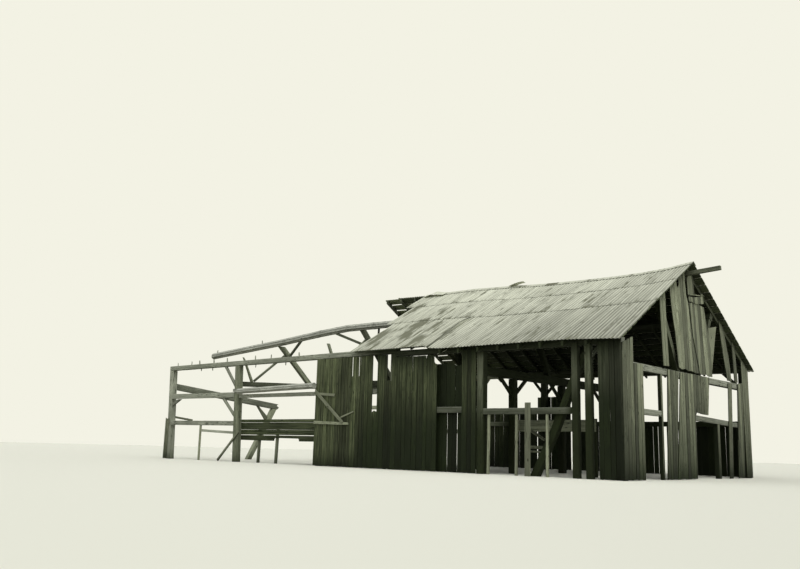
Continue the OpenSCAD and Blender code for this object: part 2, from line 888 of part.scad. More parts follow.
x_f = bent_x[2] - post_w / 2;
x_b = bent_x[3];
recess_x0 = x_b + 1920;
recess_x1 = bent_x[4] - 680;
module front_boards() {
    top = plate_under(x_f);
    color(dark) {
        front_outline([
            [x_f, 0], [x_b - 20, 0], [x_b - 20, 2900], [x_b - 130, 2960], [x_b - 230, 2930],
            [x_b - 230, 5], [x_b - 235, 5], [x_b - 235, top], [x_b - 680, top], [x_b - 680, 1900],
            [x_b - 800, 1950], [x_b - 910, 1880], [x_b - 910, top],
            [x_f + 2180, top], [x_f + 2180, 3130], [x_f + 2140, 3130], [x_f + 2140, top],
            [x_f + 1860, top], [x_f + 1860, 3140], [x_f + 1815, 3140], [x_f + 1815, top],
            [x_f, top]
        ]);
        front_outline([
            [x_b - 15, 0], [recess_x0, 0], [recess_x0, 3390], [recess_x0 - 120, 3470],
            [recess_x0 - 130, 3700], [recess_x0 - 440, 3700], [recess_x0 - 440, 3100],
            [recess_x0 - 470, 3100], [recess_x0 - 470, 3700], [x_b - 15, 3740]
        ]);
    }
}

module right_panel_boards() {
    x1 = bent_x[4] - post_w / 2 - 15;
    color(dark)
        front_outline([[recess_x1, 0], [x1, 0], [x1, cover_top(x1)], [recess_x1, cover_top(recess_x1)]]);
}

module recess_boards() {
    y0 = -hw + girt_w;
    z1 = girt_bay + 60;
    color(dark) {
        in_xz(y0, y0 + board_t)
            polygon([
                [recess_x0 - 150, z1 - 60], [recess_x1 + 100, z1 - 60], [recess_x1 + 100, 3400],
                [recess_x1 - 330, 3330], [recess_x1 - 560, 3420], [recess_x0 - 150, 3420]
            ]);
        for (s = [[recess_x0 - 150, recess_x0 + 300], [recess_x0 + 325, recess_x0 + 690],
            [recess_x0 + 720, recess_x1 + 100]])
            in_xz(y0, y0 + board_t)
                polygon([[s[0], 0], [s[1], 0], [s[1], z1 - 65], [s[0], z1 - 65]]);
    }
}

module corner_boards() {
    x0 = x_right - 700;
    color(brown) {
        front_outline([[x0, 0], [x_right, 0], [x_right, cover_top(x_right)], [x0, cover_top(x0)]]);
        front_outline([
            [x_left + 10, 0], [x_left + 260, 0], [x_left + 245, 1750], [x_left + 130, 1700],
            [x_left + 15, 1760]
        ]);
    }
}

stall_x1 = post_x(2, 1300) + 30;
module stall_panel() {
    y0 = -hw + post_w;
    color(dark) {
        in_xz(y0, y0 + 40)
            polygon([
                [post_x(1, 1300) - 60, 1270], [stall_x1, 1275], [stall_x1, 1675], [post_x(1, 1300) - 60, 1660]
            ]);
        in_xz(y0, y0 + 40)
            polygon([
                [post_x(1, 1300) - 60, 860], [post_x(1, 1000) + 2100, 850], [post_x(1, 1000) + 2160, 960],
                [post_x(1, 1000) + 3500, 950], [post_x(1, 1000) + 3540, 850], [stall_x1, 860],
                [stall_x1, 1268], [post_x(1, 1300) - 60, 1263]
            ]);
    }
}

// Short posts behind the stall and manger boards
manger_x = [bent_x[4] + 1230, bent_x[4] + 2900];
module stall_posts() {
    color(brown) {
        for (x = [post_x(1, 1300) + 1200, post_x(1, 1300) + 2250])
            upright(x - 40, x, -hw + post_w + 40 + 45, 110, 90, 0, 1500);
        for (x = manger_x)
            upright(x, x, -aisle_out + 46, 90, 90, 0, x == manger_x[0] ? 1480 : 1720);
    }
}

module bay_uprights() {
    color(pale) {
        upright(stub_x, stub_x - 15, -hw + 50, stub_w, 60, 0, girt_lo - girt_d - 10);
        upright(bent_x[4] + 290, bent_x[4] + 310, -hw + 50, 80, 60, 0, girt_bay - girt_d);
        upright(bent_x[4] + 1290, bent_x[4] + 1310, -hw + 50, 80, 60, 0, girt_bay - girt_d);
        upright(bent_x[4] + 2340, bent_x[4] + 2350, -hw + 50, 80, 60, 0, girt_bay - girt_d);
        upright(bent_x[4] + 1720, bent_x[4] + 1730, -hw - 15, 195, 30, 0, girt_bay + 150);
    }
}

module manger_boards() {
    x0 = bent_x[4] + aisle_post_w / 2;
    y0 = -aisle_out - 32;
    color(brown) {
        along_x(x0, manger_x[1] + 60, y0, y0 + 32, 1680, 1690, 360);
        along_x(x0 + 560, manger_x[0] + 60, y0, y0 + 32, 890, 880, 100);
        along_x(x0 + 560, manger_x[0] + 60, y0, y0 + 32, 740, 720, 60);
        strut([x0 + 600, y0 - 17, 1345], [x0 + 1100, y0 - 17, 1065], 32, 90);
    }
}

// Timber leaning on the inner faces of the bay posts, its foot on the ground
module fallen_timber() {
    y0 = max(bay_post_y + bay_post_w, -hw + girt_w) + 1;
    color(dark)
        in_xz(y0, y0 + 210)
            polygon([
                [bay_post_x[0] - 1610, 0], [bay_post_x[0] - 1350, 0], [bay_post_x[0] - 700, 1250],
                [bay_post_x[0] + 240, 3400], [bay_post_x[0] + 190, 3520], [bay_post_x[0] + 30, 3420],
                [bay_post_x[0] - 930, 1290]
            ]);
}

// Outline on the gable's leaning upper wall, in heights above the ground
module upper_outline(out, pts) {
    lean_a = atan(gable_lean / (ridge_h - tie_h));
    translate([x_right + out, 0, tie_h])
        rotate([0, -lean_a, 0])
            in_yz(0, board_t)
                polygon([for (p = pts) [p[0], (p[1] - tie_h) / cos(lean_a)]]);
}

// Underside of the roof boards over the gable
function under_roof(y) = min(rafter_top(x_right, abs(y)), rafter_top(x_right - gable_lean, abs(y))) - 8;

module gable_upper_boards() {
    z0 = tie_h + 40;
    color(grey) {
        upper_outline(0, [
            [-2230, z0 - 30], [-1850, z0], [-1850, 4400], [-1780, under_roof(-1780)],
            [-2200, under_roof(-2200)]
        ]);
        upper_outline(0, [
            [-1130, z0 + 40], [-900, z0 - 20], [-640, z0 + 20], [-400, z0 - 30], [-120, z0 - 10],
            [150, z0 - 40], [420, z0 - 20], [90, 4460], [-60, 5600], [-150, 5700], [-190, under_roof(190)],
            [-640, under_roof(640)], [-680, 6000], [-860, 5900], [-890, under_roof(890)],
            [-1420, under_roof(1420)], [-1330, 4960], [-1200, 4400]
        ]);
        upper_outline(0, [
            [500, z0 - 30], [760, z0 - 50], [1060, z0 - 20], [1300, z0 - 60], [1520, z0 - 50], [1560, 4230],
            [1360, 5030], [1230, 5560], [700, 5610], [30, 5530], [160, 4460]
        ]);
        upper_outline(0, [
            [0, 5770], [530, 5870], [530, under_roof(530)], [75, under_roof(75)], [75, 6380], [0, 6380]
        ]);
        upper_outline(board_t, [
            [-30, 5560], [570, 5540], [1160, 5640], [1300, 5760], [1200, under_roof(1200) - 40],
            [750, 5840], [-30, 5720]
        ]);
        upper_outline(0, [
            [2890, z0 - 60], [3240, z0 - 60], [3140, 4080], [2860, under_roof(2860)],
            [2500, under_roof(2500)], [2660, 4140]
        ]);
        upper_outline(0, [
            [3560, z0 - 60], [3840, z0 - 60], [3830, under_roof(3830)], [3560, under_roof(3560)]
        ]);
    }
}

// Outline on the gable's lower wall
module lower_outline(pts) {
    in_yz(x_right, x_right + board_t)
        polygon(pts);
}

module gable_lower_boards() {
    z1 = tie_h - 30;
    eaves = plate_top(x_right);
    color(grey) {
        lower_outline([[-hw - board_t, 0], [-4230, 0], [-4230, eaves + 90], [-hw - board_t, eaves - 160]]);
        lower_outline([[-4200, 0], [-3640, 0], [-3640, z1], [-4200, z1 - 20]]);
        lower_outline([[-2190, 0], [-1520, 0], [-1190, z1 + 10], [-1970, z1]]);
        lower_outline([[-1460, 0], [-20, 0], [0, 1900], [110, 2040], [120, z1 + 20], [-1050, z1 - 10]]);
        lower_outline([[130, 2030], [600, 1990], [1040, 1985], [1250, z1], [130, z1 + 10]]);
        lower_outline([[3520, 0], [4100, 0], [4230, 1850], [4230, 1900], [4240, z1 + 60], [3800, z1 - 20]]);
        lower_outline([[4300, 0], [hw, 0], [hw, eaves - 120], [4260, eaves + 220]]);
    }
}

module gable_studs() {
    color(grey) {
        translate([x_right - girt_w + 40, near_stud_y, 0])
            cube([110, 110, tie_h - 230]);
        in_yz(x_right - girt_w, x_right)
            polygon([
                [1850, 0], [2040, 0], [2040, low_beam_top(2040) - low_d], [1850, low_beam_top(1850) - low_d]
            ]);
        lower_outline([[2680, 0], [3010, 0], [3260, tie_h - 90], [2920, tie_h - 90]]);
    }
}

module back_boards() {
    z1 = girt_bay;
    color(brown) {
        in_xz(hw, hw + board_t)
            polygon([
                [bent_x[2] - 100, 0], [bent_x[3] - 460, 0], [bent_x[3] - 460, z1 + 420],
                [bent_x[3] - 900, z1 + 450], [bent_x[3] - 900, z1 + 390], [bent_x[2] - 100, z1 + 440]
            ]);
        in_xz(hw, hw + board_t)
            polygon([
                [bent_x[3] - 420, 0], [bent_x[3] + 1150, 0], [bent_x[3] + 1150, 2980],
                [bent_x[3] + 600, 3010], [bent_x[3] - 420, 3000]
            ]);
        in_xz(hw, hw + board_t)
            polygon([
                [bent_x[3] + 1250, 0], [bent_x[4] + 1500, 0], [bent_x[4] + 1500, z1 - 40],
                [bent_x[4] + 600, z1], [bent_x[3] + 1250, z1 - 20]
            ]);
        in_xz(hw, hw + board_t)
            polygon([[bent_x[4] + 1650, 0], [x_right, 0], [x_right, z1 + 40], [bent_x[4] + 1650, z1 - 50]]);
    }
}

module loose_boards() {
    y1 = -hw - board_t;
    color(pale) {
        in_xz(y1 - 45, y1)
            polygon([[x_f, 2520], [x_f + 1010, 2440], [x_f + 1010, 2540], [x_f, 2620]]);
        in_xz(y1 - 45, y1)
            polygon([[x_f, 1470], [x_f + 1740, 1450], [x_f + 1740, 1530], [x_f, 1590]]);
        in_xz(y1 - 75, y1 - 46)
            polygon([[x_f + 30, 2590], [x_f + 1460, 1480], [x_f + 1540, 1560], [x_f + 30, 2735]]);
        in_xz(y1 - 30, y1)
            polygon([[x_f + 1350, 1680], [x_f + 1980, 1880], [x_f + 1980, 1930], [x_f + 1350, 1740]]);
        strut([post_x(1, 0) + 230, -hw - 26, 1180], [post_x(1, 0) - 1020, -hw - 26, 36], 50, 90);
        along_y(-hw + post_w, -hw + post_w + 1000, bent_x[0] + 30, bent_x[0] + 90, 1835, 1725, 90);
        upper_outline(-board_t, [[1500, 3820], [1630, 3480], [2310, 5040], [1570, 4900]]);
        upper_outline(2 * board_t, [[-10, 5765], [1240, 5915], [1240, 5945], [-10, 5795]]);
    }
}

left_corner_post();
front_posts();
bay_posts();
back_posts();
aisle_posts();
leaning_centre_post();
front_plate();
back_plate();
left_tie_beam();
tie_beams();
right_tie_beam();
right_lower_beam();
front_girts();
back_girts();
hewn_log();
front_braces();
back_braces();
tie_braces();
slumped_purlin();
front_purlin();
back_purlin();
purlin_posts();
leaning_purlin_posts();
front_rafters();
back_rafters();
front_roof_boards();
back_roof_boards();
bare_roof_boards();
front_roof_metal();
back_roof_metal();
hay_beam();
front_boards();
recess_boards();
right_panel_boards();
corner_boards();
stall_panel();
stall_posts();
bay_uprights();
manger_boards();
fallen_timber();
gable_upper_boards();
gable_lower_boards();
gable_studs();
back_boards();
loose_boards();
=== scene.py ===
import json
from functools import partial
from math import ceil, cos, exp, hypot, pi, radians, sin
from random import Random

import bmesh
import bpy
from bpy.props import FloatProperty, FloatVectorProperty, IntProperty, PointerProperty
from bpy.types import Operator, Panel, PropertyGroup
from mathutils import Matrix, Vector, noise
from mathutils.bvhtree import BVHTree


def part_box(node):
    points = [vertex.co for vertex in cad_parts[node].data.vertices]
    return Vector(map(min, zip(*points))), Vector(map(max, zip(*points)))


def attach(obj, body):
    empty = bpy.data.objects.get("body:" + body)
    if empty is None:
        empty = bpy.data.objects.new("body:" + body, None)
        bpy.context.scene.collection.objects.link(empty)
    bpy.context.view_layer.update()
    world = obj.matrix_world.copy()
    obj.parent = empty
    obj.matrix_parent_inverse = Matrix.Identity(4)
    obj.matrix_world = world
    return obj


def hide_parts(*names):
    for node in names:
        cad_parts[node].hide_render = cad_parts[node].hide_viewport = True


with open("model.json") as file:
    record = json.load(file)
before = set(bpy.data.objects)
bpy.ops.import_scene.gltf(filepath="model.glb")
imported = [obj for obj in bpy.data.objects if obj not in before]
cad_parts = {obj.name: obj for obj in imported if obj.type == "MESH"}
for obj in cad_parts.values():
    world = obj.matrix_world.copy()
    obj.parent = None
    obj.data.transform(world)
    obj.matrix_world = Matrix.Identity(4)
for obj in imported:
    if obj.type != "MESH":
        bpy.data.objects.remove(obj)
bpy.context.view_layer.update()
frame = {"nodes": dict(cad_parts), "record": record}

bl_info = {
    "name": "Derelict timber-frame barn",
    "version": (1, 0, 0),
    "blender": (4, 5, 0),
    "location": "3D View > Sidebar > Barn",
    "description": "Worked timbers, boards and corrugated sheets over the barn's fixed frame",
    "category": "Object",
}

UP = Vector((0, 0, 1))
ALONG_RIDGE = Vector((1, 0, 0))
ACROSS_BARN = Vector((0, 1, 0))
SLOTS = {s["node"]: s["material_slot"] for s in frame["record"]["subparts"]}
FINISHES = {}


def linear(hex_colour):
    """Linear red, green and blue of an sRGB hex colour."""
    parts = [int(hex_colour[i:i + 2], 16) / 255 for i in (1, 3, 5)]
    return [p / 12.92 if p <= 0.04045 else ((p + 0.055) / 1.055) ** 2.4 for p in parts]


def colour(name, description, hex_colour):
    """A colour setting whose default is a hex colour."""
    return FloatVectorProperty(
        name=name, description=description, subtype="COLOR", size=3, min=0, max=1,
        default=linear(hex_colour),
    )


def length(name, description, default, smallest, largest):
    """A size setting in metres."""
    return FloatProperty(
        name=name, description=description, default=default, min=smallest, max=largest,
        precision=4, subtype="DISTANCE", unit="LENGTH",
    )


class BarnTimberSettings(PropertyGroup):
    """Sizes and colours of the hewn timbers"""

    hew_step: length("Hewing step", "Distance between two dips of a hewn face", 0.24, 0.08, 1.0)
    hew_depth: length("Hewing depth", "How deep the axe went below the flat face", 0.007, 0, 0.02)
    arris: length("Worn arris", "Width of the worn edge of a timber", 0.012, 0.001, 0.03)
    peg: length("Peg width", "Width of the oak pegs that pin the joints", 0.026, 0.01, 0.05)
    stake: length("Stake width", "Width of the stakes in the front plate", 0.05, 0.02, 0.08)
    grey: colour("Silver grey", "Where rain and sun have silvered the outer timbers", "#b7baa4")
    pale: colour("Bleached", "Where the sun has bleached the fallen logs", "#cccdbc")
    brown: colour("Grey brown", "Where weather has greyed the posts", "#a3a88b")
    dark: colour("Dull grey", "Where weather has reached the inner timbers", "#8f937a")
    # Its near black is partly painted shade on the oak under the roof
    dry_and_shaded: colour("Dry oak", "Oak that the roof has kept dry", "#283016")


class BarnBoardSettings(PropertyGroup):
    """Sizes and colours of the wall and roof boards"""

    width: length("Board width", "Mean width of the upright wall boards", 0.21, 0.1, 0.4)
    joint: length("Joint", "Gap between two boards that have dried", 0.016, 0, 0.03)
    ragged: length("Ragged end", "How uneven the boards' ends are", 0.035, 0, 0.1)
    roof_length: length("Roof board length", "Mean length of a roof board", 3.6, 1.0, 6.0)
    dark: colour("Dark boards", "Weathered parts of the long walls' boards", "#6f7653")
    grey: colour("Grey boards", "Where the sun has silvered the gable's boards", "#969a7e")
    # Its paleness is partly painted light on the bare rows' undersides
    roof: colour("Roof boards", "Weathered parts of the roof boards", "#7f8764")
    # Its near black is partly painted shade on the pine under the roof
    dry_and_shaded: colour("Dry pine", "Pine that the roof has kept dry", "#1e270f")


class BarnRoofSettings(PropertyGroup):
    """Sizes and colours of the corrugated sheets"""

    gauge: length("Sheet thickness", "Thickness of the sheets as drawn", 0.0016, 0.0005, 0.003)
    curve_steps: IntProperty(
        name="Curve steps", description="Faces from a rib's crest to its valley",
        default=3, min=2, max=6,
    )
    dent: length("Dents", "How far the sheets are dented", 0.006, 0, 0.03)
    zinc: colour("Dull zinc", "Weathered galvanised sheet", "#b2b4a1")
    bright: colour("Bright zinc", "Sheet that still has its spangle", "#cfd1bf")
    rust: colour("Rust", "Sheet that has lost its zinc", "#66674f")


class BarnStageSettings(PropertyGroup):
    """Floor, backdrop and light"""

    floor: colour("Floor", "Plain pale floor", "#deddcd")
    backdrop: colour("Backdrop", "What the camera sees behind the barn", "#f3f2e4")
    floor_size: length("Floor size", "Side of the square floor", 260, 60, 600)
    sky_light: FloatProperty(
        name="Sky light", description="Strength of the even light from all around",
        default=0.86, min=0, max=2,
    )
    sun_light: FloatProperty(
        name="Sun light", description="Strength of the soft light from the gable side",
        default=0.8, min=0, max=6,
    )
    ground: colour("Ground", "Light that the barn gets back from the floor", "#8f8f80")


# Cutting and shaping of solids. All sizes are in metres

# Points closer than this count as one
TOUCHING = 1e-5
# A sawn piece with less than this volume, in cubic metres, is left out as a splinter
SPLINTER = 3e-5
# A timber side wider than this gets two rows of hewing
ONE_ROW = 0.13


def mesh_of(node):
    """A copy of a CAD node's mesh to work on."""
    mesh = bmesh.new()
    mesh.from_mesh(frame["nodes"][node].data)
    return mesh


def cut(solid, axis, at, keep_above=False):
    """Cuts a solid across an axis and gives the cut's points and edges. With keep_above, what lies
    below is thrown away and the cut closed."""
    line = bmesh.ops.bisect_plane(
        solid, geom=solid.verts[:] + solid.edges[:] + solid.faces[:], dist=TOUCHING,
        plane_co=axis * at, plane_no=axis, clear_inner=keep_above,
    )["geom_cut"]
    if keep_above and solid.faces:
        rim = [e for e in solid.edges if e.is_boundary]
        bmesh.ops.holes_fill(solid, edges=rim, sides=0)
        bmesh.ops.recalc_face_normals(solid, faces=solid.faces)
    return line


def spread(solid, axis):
    """Lowest and highest place of a solid along an axis."""
    places = [v.co.dot(axis) for v in solid.verts]
    return min(places), max(places)


def middle_of(solid):
    """Mean place of a solid's points."""
    return sum((v.co for v in solid.verts), Vector()) / len(solid.verts)


def anywhere(rng, far):
    """A random place, for noise to start from."""
    return Vector([rng.uniform(-far, far) for _ in range(3)])


def random_marks(low, high, size, scatter, last, rng):
    """Pairs of marks from low to high, about size apart. The last pair is at most last sizes."""
    marks = [low]
    while marks[-1] < high - last * size:
        marks.append(marks[-1] + size * rng.uniform(1 - scatter, 1 + scatter))
    return list(zip(marks, marks[1:] + [high]))


def split(whole):
    """The separate solids of a mesh, in the order of their points."""
    whole.verts.index_update()
    whole.faces.index_update()
    reached, found = set(), []
    for first in whole.verts:
        if first.index in reached:
            continue
        reached.add(first.index)
        members = [first]
        for v in members:
            for other in [e.other_vert(v) for e in v.link_edges]:
                if other.index not in reached:
                    reached.add(other.index)
                    members.append(other)
        members.sort(key=lambda v: v.index)
        part = bmesh.new()
        copy = {v.index: part.verts.new(v.co) for v in members}
        for f in {f.index: f for v in members for f in v.link_faces}.values():
            part.faces.new([copy[v.index] for v in f.verts])
        part.normal_update()
        found.append(part)
    return found


def solids_of(node):
    """The separate solids of a CAD node, with their flat faces whole again."""
    whole = mesh_of(node)
    bmesh.ops.remove_doubles(whole, verts=whole.verts, dist=2 * TOUCHING)
    bmesh.ops.dissolve_limit(whole, angle_limit=radians(0.25), verts=whole.verts, edges=whole.edges)
    found = split(whole)
    whole.free()
    return found


def directions(solid, along=None):
    """Unit vectors along a solid, across its broadest side and through it."""
    if along is None:
        edge = max(solid.edges, key=lambda e: e.calc_length())
        along = (edge.verts[1].co - edge.verts[0].co).normalized()
        if max(along, key=abs) < 0:
            along = -along
    sides = [f for f in solid.faces if abs(f.normal.dot(along)) < 0.4] or solid.faces[:]
    broad = max(sides, key=lambda f: f.calc_area())
    through = (broad.normal - along * broad.normal.dot(along)).normalized()
    return along, along.cross(through), through


def cut_lattice(solid, ways, step, rows, clear, rng):
    """Cuts a solid across itself every step and in rows along itself, clear of its own corners."""
    for axis, count in zip(ways, (None, *rows)):
        corners = [v.co.dot(axis) for v in solid.verts]
        low, high = min(corners), max(corners)
        count = count or max(1, round((high - low) / step))
        for k in range(1, count):
            at = low + (high - low) * (k + rng.uniform(-0.2, 0.2)) / count
            if all(abs(at - c) > clear for c in corners):
                cut(solid, axis, at)


def wear_arris(solid, width, segments):
    """Rounds the solid's sharp edges."""
    sharp = [e for e in solid.edges if len(e.link_faces) == 2 and e.calc_face_angle(0) > 0.45]
    bmesh.ops.bevel(
        solid, geom=sharp, offset=width, offset_type="OFFSET", segments=segments,
        profile=0.6, affect="EDGES", clamp_overlap=True,
    )


def hew(solid, rng, step, depth, arris):
    """Gives a straight solid the dips, hollows and worn arrises of a hewn timber."""
    ways = directions(solid)
    sides = (spread(solid, way) for way in ways[1:])
    rows = [2 if high - low > ONE_ROW else 1 for low, high in sides]
    cut_lattice(solid, ways, step, rows, 2.5 * arris, rng)
    wear_arris(solid, arris, segments=2)
    seed = anywhere(rng, 50)
    solid.normal_update()
    for v in solid.verts:
        # Dips about 0.2 m long, in hollows about 0.8 m long
        dip = noise.noise(v.co * 5.1 + seed)
        hollow = noise.noise(v.co * 1.3 - seed)
        v.co -= v.normal * depth * (0.55 + 0.3 * dip + 0.25 * hollow)
        v.co.z = max(v.co.z, 0.0)
    return ways


def saw_boards(panel, rng, width, joint, along):
    """Cuts a panel into single boards. Gives each board's solids."""
    _, across, _ = directions(panel, along)
    low, high = spread(panel, across)
    boards = []
    for a, b in random_marks(low, high, width, scatter=0.25, last=1.35, rng=rng):
        board = panel.copy()
        if a > low:
            cut(board, across, a + joint * rng.uniform(0.3, 1.2), keep_above=True)
        if b < high and board.faces:
            cut(board, -across, -b, keep_above=True)
        if board.faces:
            boards.append([p for p in split(board) if p.calc_volume(signed=False) > SPLINTER])
        board.free()
    return boards


def weather_board(board, rng, ways, ragged, lift):
    """Bows a board a little, nibbles its edges and leaves its ends uneven."""
    along, across, through = ways
    low, high = spread(board, across)
    rows = max(1, round((high - low) / 0.07))
    cut_lattice(board, ways, step=0.55, rows=(rows, 1), clear=0.006, rng=rng)
    wear_arris(board, width=0.0025, segments=1)
    board.normal_update()
    seed = anywhere(rng, 50)
    middle = (low + high) / 2
    cup = rng.uniform(-0.05, 0.05)
    lean = rng.uniform(-0.0015, 0.0015)
    foot, head = spread(board, along)
    for v in board.verts:
        place = v.co.copy()
        side = place.dot(across) - middle
        end = v.normal.dot(along)
        bow = 0.0025 * noise.noise(place * 0.9 + seed)
        nibble = 0.002 * noise.noise(place * 4 + seed)
        v.co += through * (lift + bow + cup * side * side)
        v.co += across * (lean * (place.dot(along) - foot) + nibble)
        if abs(end) > 0.3:
            bite = 0.5 + 0.5 * noise.noise(Vector((place.dot(across) * 19, end, 0)) + seed)
            v.co -= along * (1 if end > 0 else -1) * ragged * min(bite, 0.3 * (head - foot))
        v.co.z = max(v.co.z, 0.0)


# Left end of the roof: the front slope's at the ridge, its shift for each metre out, and the back's
FRONT_ROOF_LEFT, FRONT_ROOF_SLANT, BACK_ROOF_LEFT = -0.65, 0.21, -3.0
# Faces beyond these places belong to the gable and the long walls
GABLE_FACE, WALL_FACE = 10.05, 4.8
# Where the eave's shade starts up the walls, and the corner's dark boards along them
EAVE_SHADE, CORNER_START = 3.45, 8.6
# How high splashes and damp from the ground darken the wood
SPLASH_HEIGHT, DAMP_HEIGHT = 0.5, 2.8


def clamp(value):
    """The value, kept from 0 to 1."""
    return min(1.0, max(0.0, value))


def weather_and_shade_at(place, normal):
    """Rain and sun a point has had, with painted shade: 1 on top in the bare half, 0 deep under the
    roof.
    """
    roof_left = FRONT_ROOF_LEFT - FRONT_ROOF_SLANT * place.y if place.y < 0 else BACK_ROOF_LEFT
    bare = clamp(roof_left + 0.5 - place.x)
    # In the open, tops get more and undersides less: sun bleaching, with painted light and shade
    in_the_open = 0.32 + 0.75 * (0.5 + 0.5 * normal.z)
    on_a_wall = 0.0
    if place.x > GABLE_FACE and normal.x > 0.2:
        on_a_wall = 0.95 * clamp((normal.x - 0.2) / 0.4)
    elif abs(place.y) > WALL_FACE:
        facing = normal.y if place.y > 0 else -normal.y
        # Painted shadow of the eave, darkening the walls' upper parts
        under_eave = clamp((place.z - EAVE_SHADE) / 0.2) * clamp(place.x - 0.4)
        # Faces turned out and up get more: weather, with painted light on the tops
        skin = 0.4 * clamp((facing - 0.2) / 0.4) + 0.6 * clamp((normal.z - 0.3) / 0.4)
        if place.x > CORNER_START:
            skin *= 0.5
        on_a_wall = skin * (1 - 0.95 * under_eave)
    # Rain also blows in at the roof's open left end
    on_a_wall = max(on_a_wall, clamp((0.6 - place.x) / 1.6))
    damp = 0.3 * clamp(1 - place.z / SPLASH_HEIGHT)
    damp += (0.2 + 0.6 * (1 - bare)) * clamp(1 - place.z / DAMP_HEIGHT)
    # Under the roof, away from the walls, the value stays near 0: dry wood and painted shade
    return max(0.0, bare * in_the_open + (1 - bare) * max(0.05, on_a_wall) - damp)


def put(name, data):
    """Puts an object with this data into the scene."""
    thing = bpy.data.objects.new(name, data)
    bpy.context.scene.collection.objects.link(thing)
    return thing


class Shape:
    """Points and faces of a piece as it is put together, with the values that its finish reads."""

    def __init__(self):
        self.points, self.faces, self.grain, self.tone, self.weather = [], [], [], [], []

    def add(self, points, faces, grain, tone, weather):
        """Adds points and faces. Grain and weather with painted shade are per point, tone may be.
        """
        first = len(self.points)
        self.points += [tuple(p) for p in points]
        self.faces += [[first + k for k in f] for f in faces]
        self.grain += [tuple(g) for g in grain]
        self.tone += tone if isinstance(tone, list) else [tone] * len(points)
        self.weather += weather

    def add_solid(self, solid, grain, tone, weather):
        """Adds a solid and frees it."""
        solid.verts.index_update()
        faces = [[v.index for v in f.verts] for f in solid.faces]
        self.add([v.co for v in solid.verts], faces, grain, tone, weather)
        solid.free()

    def add_wood(self, solid, ways, rng, tone, exposure, least):
        """Adds a wooden solid. Grain runs along it, weather reaches it from outside, shade is
        painted.
        """
        solid.normal_update()
        shift = anywhere(rng, 30)
        grain = [Vector([v.co.dot(way) for way in ways]) + shift for v in solid.verts]
        weather = [max(least, exposure * weather_and_shade_at(v.co, v.normal)) for v in solid.verts]
        self.add_solid(solid, grain, tone, weather)

    def piece(self, context, name, slot, *nodes):
        """Makes the piece, puts its finish on and lets it ride with the barn."""
        if not self.faces:
            raise RuntimeError(f"{name} has no faces")
        mesh = bpy.data.meshes.new(name)
        mesh.from_pydata(self.points, [], self.faces)
        for key, kind, field, values in (
            ("grain", "FLOAT_VECTOR", "vector", [x for g in self.grain for x in g]),
            ("tone", "FLOAT", "value", self.tone),
            ("weather", "FLOAT", "value", self.weather),
        ):
            mesh.attributes.new(key, kind, "POINT").data.foreach_set(field, values)
        mesh.polygons.foreach_set("use_smooth", [True] * len(mesh.polygons))
        mesh.set_sharp_from_angle(angle=radians(38))
        mesh.materials.append(finish_for(context, slot))
        piece = put(name, mesh)
        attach(piece, "root")
        if nodes:
            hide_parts(*nodes)


# Finishes

# The values that a piece's points carry, each with the output that reads it
POINT_VALUES = (("grain", "Vector"), ("tone", "Fac"), ("weather", "Fac"))
# The sockets of a node that turns one range of values into another
RANGE = ("From Min", "From Max", "To Min", "To Max")


def add_node(tree, kind, values=None, links=None, out=0):
    """Adds a node with these properties, socket values and links, and gives one of its outputs."""
    node = tree.nodes.new("ShaderNode" + kind)
    for key, value in (values or {}).items():
        if isinstance(key, str) and key not in node.inputs:
            setattr(node, key, value)
        else:
            node.inputs[key].default_value = value
    for key, output in (links or {}).items():
        tree.links.new(output, node.inputs[key])
    return node.outputs[out] if node.outputs else None


def new_material(name):
    """An empty material, and add_node for its tree."""
    material = bpy.data.materials.new(name)
    material.use_nodes = True
    material.node_tree.nodes.clear()
    return material, partial(add_node, material.node_tree)


def rgba(rgb, factor=1.0):
    """A colour for a socket, made lighter or darker by a factor."""
    return [min(1.0, c * factor) for c in rgb] + [1]


